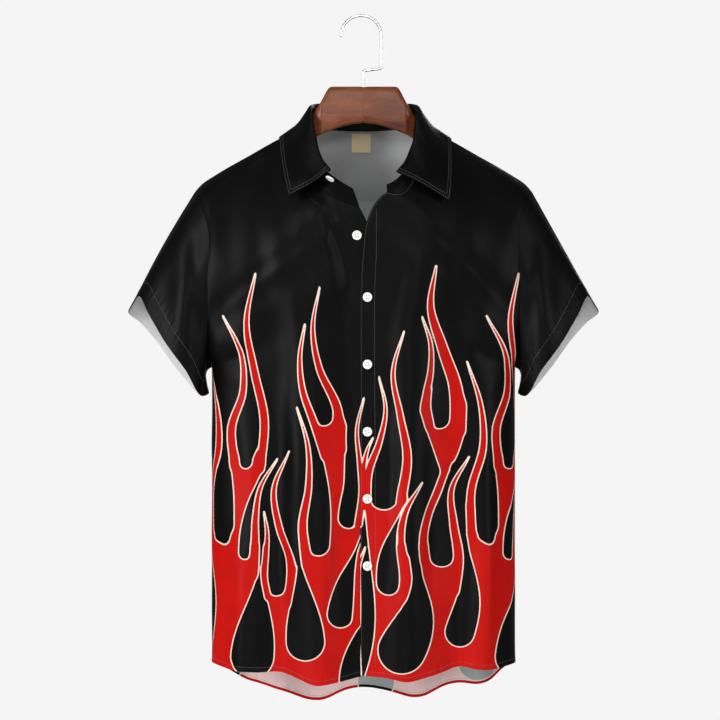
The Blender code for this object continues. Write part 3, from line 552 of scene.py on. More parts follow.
def fold_depth(folds, x, z, hem_z):
    out = np.zeros_like(x)
    for hem_x, chest_x, width, hem, chest, top in zip(*folds.values()):
        down = smoothstep(top, hem_z, z)
        middle = chest_x + (hem_x - chest_x) * down
        height = (chest + (hem - chest) * down) * smoothstep(top, top - FOLD_FADE, z)
        out += height * np.exp(-(((x - middle) / width) ** 2))
    return out


def centreline(x0, y0, x1, y1, bow, sway, steps):
    """A stroke's middle line from (x0, y0) to (x1, y1), bowed and swayed in x."""
    t = np.linspace(0, 1, steps)
    x = x0 + (x1 - x0) * t + bow * np.sin(math.pi * t) + sway * np.sin(2 * math.pi * t)
    return t, np.stack([x, y0 + (y1 - y0) * t], axis=1)


def nearest_on(line, places):
    """For each place, how far the line is, and how far along the line (0 to 1) that is."""
    least, share = np.full(len(places), 1e9), np.zeros(len(places))
    for k, (a, b) in enumerate(zip(line[:-1], line[1:])):
        way = b - a
        f = np.clip((places - a) @ way / (way @ way), 0, 1)
        far = np.linalg.norm(places - a - f[:, None] * way, axis=1)
        closer = far < least
        least[closer] = far[closer]
        share[closer] = (k + f[closer]) / (len(line) - 1)
    return least, share


def within(line, places, reach):
    low, high = line.min(axis=0) - reach, line.max(axis=0) + reach
    return np.all((places > low) & (places < high), axis=1)


def crease_depth(creases, x, z):
    """How far the creases stand out of a panel."""
    places = np.stack([x.ravel(), z.ravel()], axis=1)
    out = np.zeros(len(places))
    for x0, z0, x1, z1, bow, width, height in zip(*creases.values()):
        line = centreline(x0, z0, x1, z1, bow, bow / 4, 18)[1]
        near = within(line, places, width * 2.6)
        far, share = nearest_on(line, places[near])
        fade = np.clip(np.sin(math.pi * share), 0, 1) ** 0.7 * (0.8 + 0.2 * np.sin(share * 9 + x0))
        out[near] += height * fade * np.exp(-((far / width) ** 2))
    return out.reshape(x.shape)


def unevenness(x, z, size, seed):
    """A low, soft unevenness, from a few crossed waves."""
    out = np.zeros_like(x)
    for k in range(7):
        turn = seed * 1.7 + k * 2.4
        wave = size * (0.7 + 0.5 * ((k * 0.618 + seed * 0.37) % 1))
        way = x * math.cos(turn) * 1.5 + z * math.sin(turn) * 0.7
        out += np.sin(way * 2 * math.pi / wave + 5.1 * k + seed)
    return out / 4


def side_line(detail):
    seam = np.linspace((SIDE_X, 0, SIDE_HEM_Z), (SIDE_X, 0, ARMPIT_Z), SIDE_ROWS * detail + 1)
    return np.concatenate([seam, evenly(joined(ARMHOLE, "out", "deep", "z"), ARMHOLE_ROWS * detail)[1:]])


def over_arm(grid):
    """Moves cloth near the hanger's arm out of it, so that it rounds the arm before it falls."""
    rows = grid[:-1]
    out = np.abs(rows[..., 0])
    top, bottom, y, half = (np.interp(out, HANGER["out"], HANGER[key]) for key in "top bottom y half".split())
    z, half, tall = (top + bottom) / 2, half + ARM_CLEAR, (top - bottom) / 2 + ARM_CLEAR
    dy, dz = (rows[..., 1] - y) / half, (rows[..., 2] - z) / tall
    far = np.maximum(np.hypot(dy, dz), 1e-6)
    near = (far < 1) & (out > ARM_START) & (out < HANGER["out"][-1] + 2)
    push = np.where(near, 1 / far, 1.0)
    rows[..., 1] = y + dy * push * half
    rows[..., 2] = z + dz * push * tall


def softened(grid, passes):
    """The grid with the last small kinks worked out of it. Its borders stay."""
    for _ in range(passes):
        round_about = (grid[:-2, 1:-1] + grid[2:, 1:-1] + grid[1:-1, :-2] + grid[1:-1, 2:]) / 4
        grid[1:-1, 1:-1] = (grid[1:-1, 1:-1] + round_about) / 2
    return grid


def evened(heights, reach):
    """Heights as a running mean over so many neighbours on either side."""
    count = 2 * reach + 1
    return np.convolve(np.pad(heights, reach, mode="edge"), np.ones(count) / count, mode="valid")


def coons(left, right, bottom, top, u, v):
    """A surface between four border lines."""
    across = left[:, None] * (1 - u) + right[:, None] * u
    up = bottom[None] * (1 - v) + top[None] * v
    corners = (bottom[0] * (1 - u) + bottom[-1] * u) * (1 - v) + (top[0] * (1 - u) + top[-1] * u) * v
    return across + up - corners


def laid_flat(x, y):
    """How far along its row each place of a panel is, with the bends laid flat."""
    steps = np.hypot(np.diff(x, axis=1), np.diff(y, axis=1))
    return np.pad(np.cumsum(steps, axis=1), ((0, 0), (1, 0)))


def collar_lines(table, shares):
    both = along(joined(table, *(f"{line}_{axis}" for line in ("seam", "fold") for axis in "xyz")), shares)
    return both[:, :3], both[:, 3:]


def neck_shares(leaf_end, detail):
    stand_end = np.linspace(0, leaf_end, STAND_END_COLUMNS * detail + 1)
    rest = (NECK_ROWS - STAND_END_COLUMNS) * detail
    return np.concatenate([stand_end, np.linspace(leaf_end, 1, rest + 1)[1:]])


def front_panel(sign, edge, collar, leaf_end, lap, detail, count):
    """One front as a grid of points: rows from hem to shoulder, columns from side seam to front edge."""
    side = side_line(detail) * (sign, -1, 1)
    free = evenly(joined(edge, "x", "y", "z"), (SIDE_ROWS + ARMHOLE_ROWS - NECK_ROWS) * detail)
    free[:, 1] -= lap * smoothstep(LAP_START_Z, LAP_START_Z - 20, free[:, 2])
    front = np.concatenate([free, collar_lines(collar, neck_shares(leaf_end, detail))[0][1:]])
    share, v = spread(count), shares_of(side)
    shoulder = along(joined(SHOULDER, "out", "y", "z") * (sign, 1, 1), share)
    hem = side[0] + share[:, None] * (front[0] - side[0])
    hem[:, 2] = evened(np.interp(hem[:, 0], *FRONT_HEM.values()), 6)
    hem[[0, -1], 2] = side[0, 2], front[0, 2]
    grid = coons(side, front, hem, shoulder, share[None, :, None], v[:, None, None])
    x, z = grid[..., 0], grid[..., 2]
    open_side = smoothstep(SIDE_ROWS * detail, (SIDE_ROWS + 4) * detail, np.arange(len(side)))[:, None]
    bow = section(share[None, :], SQUARENESS + (SHOULDER_SQUARENESS - SQUARENESS) * open_side)
    depth = side[:, None, 1] + (front[:, None, 1] - side[:, None, 1]) * bow
    top = smoothstep(0.8, 1, v)[:, None]
    depth = depth * (1 - top) + grid[..., 1] * top
    flat = laid_flat(x, depth)
    flat = x[:, -1:] + sign * (flat[:, -1:] - flat)
    edge_fade = smoothstep(0, 0.22, share)[None, :] * (1 - smoothstep(0.82, 0.97, v))[:, None]
    grid[..., 1] = depth - fold_depth(FRONT_FOLDS, x, z, SIDE_HEM_Z) * edge_fade
    over_arm(grid)
    return softened(grid, detail), flat


def fronts(detail, count):
    """The under and the over front, each with its places across the flat cloth."""
    yield front_panel(-1, UNDER_EDGE, UNDER_COLLAR, UNDER_LEAF_END, 0, detail, count)
    yield front_panel(1, OVER_EDGE, OVER_COLLAR, OVER_LEAF_END, LAP, detail, count)


def back_panels(under, over, detail, step, neck_columns):
    """The yoke and the back as two grids, with rows going up and columns from -X to +X."""
    side = side_line(detail)
    split = (SIDE_ROWS + ARMHOLE_ROWS - YOKE_ROWS) * detail
    left, right = side * (-1, 1, 1), side
    neck = collar_lines(BACK_COLLAR, np.linspace(0, 1, neck_columns + 2))[0]
    top = np.concatenate([under[-1][::step], neck[1:-1], over[-1][::-step]])
    u = (top[:, 0] - top[0, 0]) / (top[-1, 0] - top[0, 0])
    middle = 1 - np.abs(2 * u - 1)
    seam = left[split] + (right[split] - left[split]) * u[:, None]
    depth = BACK_DEPTH - BACK_LEAN - left[split, 1]
    seam[:, 1] = left[split, 1] + depth * section(middle, YOKE_SQUARENESS)
    seam[:, 2] = left[split, 2] + (YOKE_Z - left[split, 2]) * section(middle, 2)
    rows = shares_of(left[split:])[:, None, None]
    ends = left[split:, None] * (1 - u[None, :, None]) + right[split:, None] * u[None, :, None]
    yoke = ends + (seam - ends[0]) * (1 - rows) + (top - ends[-1]) * rows ** np.array((1, 1.6, 1.0))
    over_arm(yoke)
    left, right = left[: split + 1], right[: split + 1]
    v = shares_of(left)
    hem = left[0] + (right[0] - left[0]) * u[:, None]
    hem[:, 2] = evened(np.interp(hem[:, 0], *BACK_HEM.values()), 4)
    hem[[0, -1], 2] = left[0, 2]
    back = coons(left, right, hem, seam, u[None, :, None], v[:, None, None])
    open_side = smoothstep(SIDE_ROWS * detail, split, np.arange(split + 1))[:, None]
    bow = section(middle[None, :], SQUARENESS + (YOKE_SQUARENESS - SQUARENESS) * open_side)
    centre = BACK_DEPTH - BACK_LEAN * v[:, None]
    back[..., 1] = left[:, None, 1] + (centre - left[:, None, 1]) * bow
    flat = laid_flat(back[..., 0], back[..., 1])
    flat -= flat[:, -1:] / 2
    fade = smoothstep(0, 0.22, middle)[None, :] * (1 - smoothstep(0.85, 1, v))[:, None]
    back[..., 1] += fold_depth(BACK_FOLDS, back[..., 0], back[..., 2], -880) * fade
    return softened(yoke, detail // 2), softened(back, detail), flat


def sleeve(sign, front, back, yoke, detail):
    """A sleeve as a closed loop of columns round the armhole, with rows from the armhole to the cuff."""
    column = 0 if sign < 0 else -1
    start = SIDE_ROWS * detail
    down_front = front[start:, 0][::-1]
    up_back = np.concatenate([back[start:, column], yoke[1:, column]])[1:-1]
    loop = np.concatenate([down_front, up_back])
    front_half = evenly(joined(CUFF_FRONT, "out", "y", "z"), len(down_front) - 1)
    back_half = evenly(joined(CUFF_BACK, "out", "y", "z"), len(up_back) + 1)
    cuff = np.concatenate([front_half, back_half[::-1][1:-1]]) * (sign, 1, 1)
    rows = np.linspace(0, 1, SLEEVE_ROWS * detail // 2 + 1)[:, None, None]
    low = smoothstep(-425, ARMPIT_Z, loop[:, 2])[:, None]
    bend = (loop + cuff) / 2 * (1 - low) + (loop + (sign * 14, 0, -3)) * low
    grid = loop * (1 - rows) ** 2 + bend * 2 * rows * (1 - rows) + cuff * rows**2
    from_top = np.minimum(np.arange(len(loop)), len(loop) - np.arange(len(loop))) / detail
    roll = np.sin(rows[..., 0] * math.pi) * np.exp(-((from_top[None] / 3) ** 2))
    grid[..., 0] -= UNDER_ROLL * roll * (sign < 0)
    forward = smoothstep(0, -25, grid[..., 1]) * np.sin(np.clip(rows[..., 0] * 1.25, 0, 1) * math.pi / 2)
    grid[..., 1] -= forward * fold_depth(SLEEVE_FOLDS, np.abs(grid[..., 0]), grid[..., 2], -480)
    return grid


def stand_grid(detail, neck_columns, rows):
    """The collar's stand, from the under end round the back to the over end, with rows going up."""
    start = collar_lines(UNDER_COLLAR, neck_shares(UNDER_LEAF_END, detail))
    middle = collar_lines(BACK_COLLAR, np.linspace(0, 1, neck_columns + 2))
    end = collar_lines(OVER_COLLAR, neck_shares(OVER_LEAF_END, detail))
    seam, fold = (np.concatenate([start[k], middle[k][1:], end[k][::-1][1:]]) for k in (0, 1))
    rows = np.linspace(0, 1, rows + 1)[:, None, None]
    return seam * (1 - rows) + fold * rows


def normals_of(grid, closed=False):
    """The unit normals at a grid's points. A closed grid's last column meets its first."""
    if closed:
        wide = np.concatenate([grid[:, -1:], grid, grid[:, :1]], axis=1)
        along_u = wide[:, 2:] - wide[:, :-2]
    else:
        along_u = np.gradient(grid, axis=1)
    normal = np.cross(along_u, np.gradient(grid, axis=0))
    return normal / np.maximum(np.linalg.norm(normal, axis=2, keepdims=True), 1e-9)


def outward(grid, centre=BODY_CENTRE, closed=False):
    """The grid's normals, turned to the side away from a centre."""
    normal = normals_of(grid, closed)
    return normal if np.sum(normal * (grid - centre)) > 0 else -normal


def tree_of(*grids):
    """One searchable surface of several grids, with its faces pointing out of the shirt."""
    points, faces = [], []
    for grid in grids:
        rows, cols = grid.shape[:2]
        k = len(points) + (np.arange(rows - 1)[:, None] * cols + np.arange(cols - 1)).ravel()
        faces += np.stack([k, k + 1, k + cols + 1, k + cols], axis=1).tolist()
        points += grid.reshape(-1, 3).tolist()
    return BVHTree.FromPolygons(points, faces)


def leaf_grid(covered, stand):
    """The collar's leaf: up off the stand's fold, over and down to its edge, clear of what it covers."""
    dense = evenly(joined(LEAF, *LEAF), 600)
    ends = slice(STAND_END_COLUMNS, -STAND_END_COLUMNS)
    tops = stand[-1, ends]
    tangents = np.gradient(tops, axis=0)
    tangents /= np.linalg.norm(tangents, axis=1, keepdims=True)
    ups = tops - stand[-2, ends]
    ups -= np.sum(ups * tangents, axis=1, keepdims=True) * tangents
    ups /= np.linalg.norm(ups, axis=1, keepdims=True)
    outs = normals_of(stand[:, ::-1])[-1, ::-1][ends]
    grid = []
    for k, (top, up, out) in enumerate(zip(tops, ups, outs)):
        at = np.argmin(np.linalg.norm(dense[:, :3] - top, axis=1))
        at = {0: 0, len(tops) - 1: len(dense) - 1}.get(k, at)
        start = top + up * (SOLID_COLLAR / 2 + 2 * SEAM)
        crest = start + out * CREST_OUT + up * CREST_UP
        grid.append(along(np.array([start, crest, dense[at, 3:6], dense[at, 6:]]), np.array(LEAF_SHARES)))
    grid = np.array(grid)
    stand = tree_of(stand)
    keep, least = CLEAR + (SOLID_CLOTH + SOLID_COLLAR) / 2, SOLID_COLLAR + CLEAR
    for r in range(grid.shape[0]):
        for c in range(1, grid.shape[1]):
            place, normal, _, near = covered.find_nearest(Vector(grid[r, c]))
            off = Vector(grid[r, c]) - place
            if off.dot(normal) < 0 and near < 6:
                grid[r, c] += np.array(normal) * (keep + near)
            elif near < keep:
                grid[r, c] += np.array(off) / max(near, 1e-6) * (keep - near)
            place, _, _, near = stand.find_nearest(Vector(grid[r, c]))
            if near < least:
                grid[r, c] += (grid[r, c] - np.array(place)) / max(near, 1e-6) * (least - near)
    return grid


# --- Print ---
def smooth_least(a, b, reach):
    """The lesser of two distances, with the corner where they meet rounded off."""
    h = np.clip(1 - np.abs(a - b) / reach, 0, 1)
    return np.minimum(a, b) - h * h * reach / 4


def tapered(t, root, middle, end):
    """A stroke's half width at shares of its length."""
    return root * (1 - t) ** 2 + 2 * middle * t * (1 - t) + end * t * t


def print_field(x, y, side):
    """How far each place of the print lies from the flames' edge, in millimetres, negative inside them."""
    places = np.stack([x.ravel(), y.ravel()], axis=1)
    base = PRINT_BASE - places[:, 1]
    drops, tongues = np.full(len(places), PRINT_FAR), np.full(len(places), PRINT_FAR)

    def stroke(into, line, half, reach):
        here = places - (shift, 0)
        near = within(line, here, half.max() + 12)
        if near.any():
            off, share = nearest_on(line, here[near])
            off -= np.interp(share, np.linspace(0, 1, len(half)), half)
            into[near] = smooth_least(into[near], off, reach)

    strokes = [(row, base, 6) for row in zip(*TRUNKS.values())]
    round_drops = list(zip(*DROPS.values()))
    if side == "over":
        strokes += [(row, drops, 2) for row in zip(*OVER_DROPS.values())]
    else:
        round_drops += zip(*UNDER_DROPS.values())
    first, last = math.floor((x.min() - 500) / PRINT_REPEAT), math.ceil((x.max() - 200) / PRINT_REPEAT)
    for shift in PRINT_REPEAT * np.arange(first, last + 1):
        for (ex, ey, rx, ry, bow, sway, *widths), into, reach in strokes:
            t, line = centreline(rx, ry, ex, ey, bow, sway, 24)
            stroke(into, line, tapered(t, *widths), reach)
        for ex, ey, high, middle, low, rx, ry, *widths in zip(*TONGUES.values()):
            marks = np.stack([(rx, low, middle, high, ex), np.linspace(ry, ey, 5)], axis=1)
            t = np.linspace(0, 1, 25)
            stroke(tongues, along(marks, t), tapered(t, *widths), 1.2)
        for bx, by, ex, ey, bow, sway, radius, neck, share in round_drops:
            t, line = centreline(bx, by - radius, ex, ey, bow, sway, 24)
            half = neck + (radius - neck) * np.cos(math.pi / 2 * np.clip(t / share, 0, 1)) ** 1.5
            stroke(drops, line, half, 2)
    body = -smooth_least(-base, drops, 2)
    field = (smooth_least(body, tongues, 2.5) * PRINT_UNIT).reshape(x.shape)
    return np.clip(field, -PRINT_LIMIT, PRINT_LIMIT)


def print_places(across, y, z):
    """A place on the cloth as the print's own x and y, at the size that it has seen from the front."""
    near = VIEW_DISTANCE / (VIEW_DISTANCE + y)
    px = PRINT_CENTRE + (across * near - VIEW_X * (near - 1)) / PRINT_STEP
    return px, PRINT_TOP - (VIEW_Z + (z - VIEW_Z) * near) / PRINT_STEP


def across_front(x, flat, sign):
    """How far across a front each place is: as seen, and along the cloth where it turns to the side."""
    out, along_cloth = sign * x, sign * flat
    start = [np.interp(PRINT_TURNS, a[::-1], b[::-1]) for a, b in zip(out, along_cloth)]
    return sign * np.where(out < PRINT_TURNS, out, PRINT_TURNS + along_cloth - np.array(start)[:, None])


# --- Meshes ---
pieces = {}


def new_object(name, points, faces, *materials, sharp=None):
    """A smooth-shaded object, with sharp edges where its faces meet at more than an angle in degrees."""
    mesh = bpy.data.meshes.new(name)
    mesh.from_pydata(np.array(points, float).tolist(), [], faces)
    for material in materials:
        mesh.materials.append(material)
    mesh.shade_smooth()
    if sharp:
        mesh.set_sharp_from_angle(angle=math.radians(sharp))
    obj = bpy.data.objects.new(name, mesh)
    bpy.context.scene.collection.objects.link(obj)
    return obj


def shell(name, grid, normal, lifts, cloth, materials, closed=False, field=None, right_side=None):
    """A thin closed sheet on a grid: the lifts are how far its outer and its inner face lie from the grid.

    cloth holds each place's two coordinates on the flat cloth, and field is the print there. right_side
    marks the inner places whose cloth is turned over, so that the printed side shows.
    """
    rows, cols = grid.shape[:2]
    half = rows * cols
    outer, inner = (np.broadcast_to(lift, (rows, cols))[..., None] for lift in lifts)
    points = np.concatenate([(grid + normal * outer).reshape(-1, 3), (grid - normal * inner).reshape(-1, 3)])
    k = np.arange(half).reshape(rows, cols)
    if closed:
        k = np.concatenate([k, k[:, :1]], axis=1)
    quads = np.stack([k[:-1, :-1], k[:-1, 1:], k[1:, 1:], k[1:, :-1]], axis=-1).reshape(-1, 4)
    p = points[quads]
    facing = np.cross(p[:, 1] - p[:, 0], p[:, 3] - p[:, 0])
    reversed_quads = np.sum(facing * normal.reshape(-1, 3)[quads[:, 0]]) < 0
    if reversed_quads:
        quads = quads[:, ::-1]
    faces = [quads, quads[:, ::-1] + half]
    rims = [(k[0], True), (k[-1], False)]
    if not closed:
        rims += [(k[:, 0], False), (k[:, -1], True)]
    for line, against in rims:
        strip = np.stack([line[:-1], line[1:], half + line[1:], half + line[:-1]], axis=1)
        faces.append(strip if against == reversed_quads else strip[:, [1, 0, 3, 2]])
    faces = np.concatenate(faces)
    obj = new_object(name, in_frame(points), faces.tolist(), *materials, sharp=55)
    mesh = obj.data
    slots = np.zeros(len(faces), int)
    if len(materials) > 1:
        inside = np.ones(half, bool) if right_side is None else ~right_side.ravel()
        slots[len(quads) : 2 * len(quads)] = inside[quads[:, 0]]
    mesh.polygons.foreach_set("material_index", slots)
    if field is not None:
        layer = mesh.attributes.new("flames", "FLOAT", "POINT")
        layer.data.foreach_set("value", np.tile(field.ravel(), 2).astype(np.float32))
    layer = mesh.attributes.new("cloth", "FLOAT_VECTOR", "POINT")
    flat = np.stack([*cloth, np.zeros((rows, cols))], axis=-1)
    layer.data.foreach_set("vector", np.tile(flat.ravel(), 2).astype(np.float32))
    pieces[name] = obj


def lengthwise(grid, axis):
    """How far along its rows or columns each place is, in millimetres."""
    steps = np.linalg.norm(np.diff(grid, axis=axis), axis=2)
    return np.pad(np.cumsum(steps, axis=axis), ((1, 0), (0, 0)) if axis == 0 else ((0, 0), (1, 0)))


def turned_edge(distance, width):
    """1 in the cloth that is turned over along an edge and 0 beyond it, with the step at its stitches."""
    return 1 - smoothstep(width - 0.6, width + 1.2, distance)


def half_thickness(turned):
    """Half the cloth's thickness, where turned is 1 in a turned edge and 0 beyond it."""
    return CLOTH / 2 + (TURNED - CLOTH) / 2 * turned


def stitched(distance, width, deep=0.3, half=0.9):
    """The groove that a line of stitches pulls into the cloth."""
    return -deep * np.exp(-(((distance - width) / half) ** 2))


def pucker(distance, way, width, height, size, seed=0.0):
    """The small waves that a line of stitches draws along an edge."""
    turn = way * 2 * math.pi / size
    waves = np.sin(turn + seed) + 0.7 * np.sin(turn / 0.618 + 2 + seed)
    return height * waves / 1.7 * np.exp(-(((distance - width) / 7) ** 2))


def line_at(grid, normal, lift, distance, at, axis=0):
    """The line on a panel's face where a distance from its edge has one value, and the normals along it.

    With axis 0 the line has a point in each column, and with axis 1 in each row.
    """
    both = np.concatenate([grid + normal * lift[..., None], normal], axis=2)
    if axis == 0:
        both, distance = both.transpose(1, 0, 2), distance.T
    if distance[0, 0] > distance[0, -1]:
        both, distance = both[:, ::-1], distance[:, ::-1]
    return np.array([[np.interp(at, far, part) for part in line.T] for line, far in zip(both, distance)])


def stitches(name, rows):
    """Rows of stitches as one mesh. Each stitch is a short thread that dips into the cloth at both ends."""
    points, faces = [], []
    turns = np.array(THREAD_TURNS)[:, None]
    for line in rows:
        way = np.concatenate([[0], np.cumsum(np.linalg.norm(np.diff(line[:, :3], axis=0), axis=1))])
        count = int(way[-1] / STITCH_PITCH)
        for k in range(count):
            at = (k + 0.5 + STITCH_PLACES) * way[-1] / count
            here = np.stack([np.interp(at, way, line[:, c]) for c in range(6)], axis=1)
            ahead = here[-1, :3] - here[0, :3]
            ahead /= np.linalg.norm(ahead)
            base = len(points)
            for place, lift in zip(here, STITCH_LIFTS):
                out = place[3:] / np.linalg.norm(place[3:])
                side = np.cross(ahead, out)
                ring = out * (lift + THREAD * np.sin(turns)) + side * THREAD * np.cos(turns)
                points += list(place[:3] + ring)
            for a in range(base, base + 20):
                b = a + 1 if (a - base) % 5 < 4 else a - 4
                faces.append((a, b, b + 5, a + 5))
            faces += [tuple(range(base + 4, base - 1, -1)), tuple(range(base + 20, base + 25))]
    pieces[name] = new_object(name, in_frame(points), faces, thread)


# --- Materials ---
class Nodes:
    """A material's nodes, built one after the other."""

    def __init__(self, name):
        self.material = bpy.data.materials.new(name)
        self.material.use_nodes = True
        self.tree = self.material.node_tree

    def put(self, value, socket):
        """Links another node's output to a socket, or sets the socket to a plain value."""
        if isinstance(value, bpy.types.NodeSocket):
            self.tree.links.new(value, socket)
        else:
            socket.default_value = (*value, 1) if socket.type == "RGBA" else value

    def add(self, kind, **settings):
        node = self.tree.nodes.new("ShaderNode" + kind)
        for key, value in settings.items():
            if key.startswith("in_"):
                self.put(value, node.inputs[key[3:].replace("_", " ")])
            else:
                setattr(node, key, value)
        return node

    def attribute(self, name, output):
        return self.add("Attribute", attribute_name=name).outputs[output]

    def place(self):
        return self.add("TexCoord").outputs["Object"]

    def maths(self, operation, *values):
        node = self.add("Math", operation=operation)
        for value, socket in zip(values, node.inputs):
            self.put(value, socket)
        return node.outputs[0]

    def total(self, a, a_share, b, b_share):
        return self.maths("ADD", self.maths("MULTIPLY", a, a_share), self.maths("MULTIPLY", b, b_share))

    def noise(self, vector, scale, detail=2.0, roughness=0.5):
        settings = {"in_Scale": scale, "in_Detail": detail, "in_Roughness": roughness}
        return self.add("TexNoise", in_Vector=vector, **settings).outputs["Fac"]

    def bands(self, vector, direction, scale, distortion):
        settings = {"bands_direction": direction, "in_Scale": scale, "in_Distortion": distortion}
        return self.add("TexWave", wave_type="BANDS", in_Vector=vector, **settings).outputs["Fac"]

    def ramp(self, value, *stops):
        node = self.add("ValToRGB", in_Fac=value)
        while len(node.color_ramp.elements) < len(stops):
            node.color_ramp.elements.new(0.5)
        for element, (place, colour) in zip(node.color_ramp.elements, stops):
            element.position = place
            element.color = (*colour, 1)
        return node.outputs["Color"]

    def darkened(self, colour, value, least, low=0.3, high=0.7):
        """The colour, darkened to this share of itself where a value is low."""
        share = self.ramp(value, (low, (least,) * 3), (high, (1.0,) * 3))
        node = self.add("Mix", data_type="RGBA", blend_type="MULTIPLY", in_Factor=1.0)
        self.put(colour, node.inputs[6])
        self.put(share, node.inputs[7])
        return node.outputs[2]

    def surface(self, colour, roughness, bump=None, **sockets):
        """The material, with a colour, a roughness, a bump (height, distance, strength) and plain values."""
        shader = self.tree.nodes["Principled BSDF"]
        sockets.update(Base_Color=colour, Roughness=roughness)
        if bump:
            height, distance, strength = bump
            node = self.add("Bump", in_Height=height, in_Distance=distance, in_Strength=strength)
            sockets["Normal"] = node.outputs["Normal"]
        for key, value in sockets.items():
            self.put(value, shader.inputs[key.replace("_", " ")])
        return self.material


def weave(nodes, vector, pitch=0.9):
    """The height of a fine twill: two crossed sets of threads, one of them slanted."""
    parts = nodes.add("SeparateXYZ", in_Vector=vector).outputs
    slant = nodes.maths("ADD", parts[0], nodes.maths("MULTIPLY", parts[1], 0.6))
    rib = nodes.maths("SINE", nodes.maths("MULTIPLY", slant, 2 * math.pi / pitch))
    pick = nodes.maths("SINE", nodes.maths("MULTIPLY", parts[1], 2 * math.pi / (pitch * 0.8)))
    return nodes.total(rib, 0.35, pick, 0.2)


def cloth_material(name, plain=BLACK, rough=0.41, printed=(), soft=0.22):
    """Smooth satin-like polyester, plain or printed with the colours of the flames and their outline."""
    nodes = Nodes(name)
    flat = nodes.attribute("cloth", "Vector")
    fine = nodes.noise(flat, 1.4, 3.0, 0.6)
    colour = plain
    if printed:
        inside, between = printed
        strayed = nodes.maths("MULTIPLY", nodes.maths("SUBTRACT", fine, 0.5), 0.35)
        edge = nodes.maths("ADD", nodes.attribute("flames", "Fac"), strayed)
        share = nodes.maths("MULTIPLY_ADD", edge, 0.5 / PRINT_LIMIT, 0.5)
        steps = (-OUTLINE - soft, soft - OUTLINE, OUTLINE - soft, OUTLINE + soft)
        places = [0.5 + step * 0.5 / PRINT_LIMIT for step in steps]
        colour = nodes.ramp(share, *zip(places, (inside, between, between, plain)))
    colour = nodes.darkened(colour, nodes.noise(flat, 0.035), 0.9)
    colour = nodes.darkened(colour, fine, 0.86)
    rougher = nodes.maths("MULTIPLY_ADD", fine, 0.1, rough - 0.05)
    height = nodes.maths("ADD", weave(nodes, flat), nodes.maths("MULTIPLY", fine, 0.5))
    shine = {"Specular_IOR_Level": 0.065, "Sheen_Weight": 0.003, "Sheen_Roughness": 0.4}
    return nodes.surface(colour, rougher, (height, 0.00004, 0.5), **shine)


def thread_material(name, colour):
    nodes = Nodes(name)
    ply = nodes.noise(nodes.place(), 2500)
    colour = nodes.ramp(ply, (0.3, tuple(c * 0.6 for c in colour)), (0.7, colour))
    return nodes.surface(colour, 0.6, (ply, 0.0001, 0.6), Sheen_Weight=0.2)


def button_material():
    nodes = Nodes("button_white")
    place = nodes.place()
    swirl = nodes.noise(place, 260, 4.0, 0.6)
    colour = nodes.ramp(swirl, (0.3, (0.74, 0.73, 0.69)), (0.7, (0.88, 0.875, 0.85)))
    rough = nodes.maths("MULTIPLY_ADD", swirl, 0.12, 0.18)
    shine = {"Specular_IOR_Level": 0.5, "Coat_Weight": 0.25, "Coat_Roughness": 0.15}
    return nodes.surface(colour, rough, (nodes.noise(place, 900), 0.00002, 0.4), **shine)


def label_material():
    """A woven damask label: fine crossed ribs of gold-brown thread, with a plain woven border."""
    nodes = Nodes("label_weave")
    flat = nodes.attribute("cloth", "Vector")
    ribs = nodes.total(nodes.bands(flat, "Y", 0.36, 0.5), 0.6, nodes.bands(flat, "X", 0.5, 0.4), 0.4)
    colour = nodes.ramp(ribs, (0.15, (0.62, 0.50, 0.26)), (0.85, (0.92, 0.80, 0.50)))
    colour = nodes.darkened(colour, nodes.noise(flat, 0.5, 3.0), 0.82)
    return nodes.surface(colour, 0.7, (ribs, 0.00015, 0.6), Sheen_Weight=0.3)


def wood_material(name, shift, tilt):
    """Stained and varnished wood with long grain, and the odd darker vein."""
    nodes = Nodes(name)
    place = nodes.place()
    settings = {"in_Location": (shift, 0, 0), "in_Rotation": (0, tilt, 0), "in_Scale": (12, 34, 44)}
    lengthened = nodes.add("Mapping", in_Vector=place, **settings).outputs[0]
    grain = nodes.noise(lengthened, 2.2, 7.0, 0.66)
    pores = nodes.noise(lengthened, 22.0)
    figure = nodes.total(grain, 0.55, nodes.noise(place, 14.0, 3.0, 0.6), 0.45)
    browns = (
        (0.30, (0.050, 0.010, 0.004)),
        (0.44, (0.115, 0.026, 0.008)),
        (0.56, (0.185, 0.050, 0.014)),
        (0.72, (0.30, 0.11, 0.036)),
    )
    colour = nodes.darkened(nodes.ramp(figure, *browns), pores, 0.72, 0.32, 0.5)
    rough = nodes.maths("MULTIPLY_ADD", grain, 0.2, 0.25)
    shine = {"Specular_IOR_Level": 0.22, "Coat_Weight": 0.04, "Coat_Roughness": 0.2}
    return nodes.surface(colour, rough, (pores, 0.0001, 0.2), **shine)


def chrome_material():
    nodes = Nodes("chrome")
    wear = nodes.noise(nodes.place(), 350, 4.0, 0.6)
    colour = nodes.ramp(wear, (0.3, (0.58, 0.58, 0.60)), (0.7, (0.80, 0.80, 0.81)))
    return nodes.surface(colour, nodes.maths("MULTIPLY_ADD", wear, 0.16, 0.1), Metallic=1.0)


black = cloth_material("black_cloth")
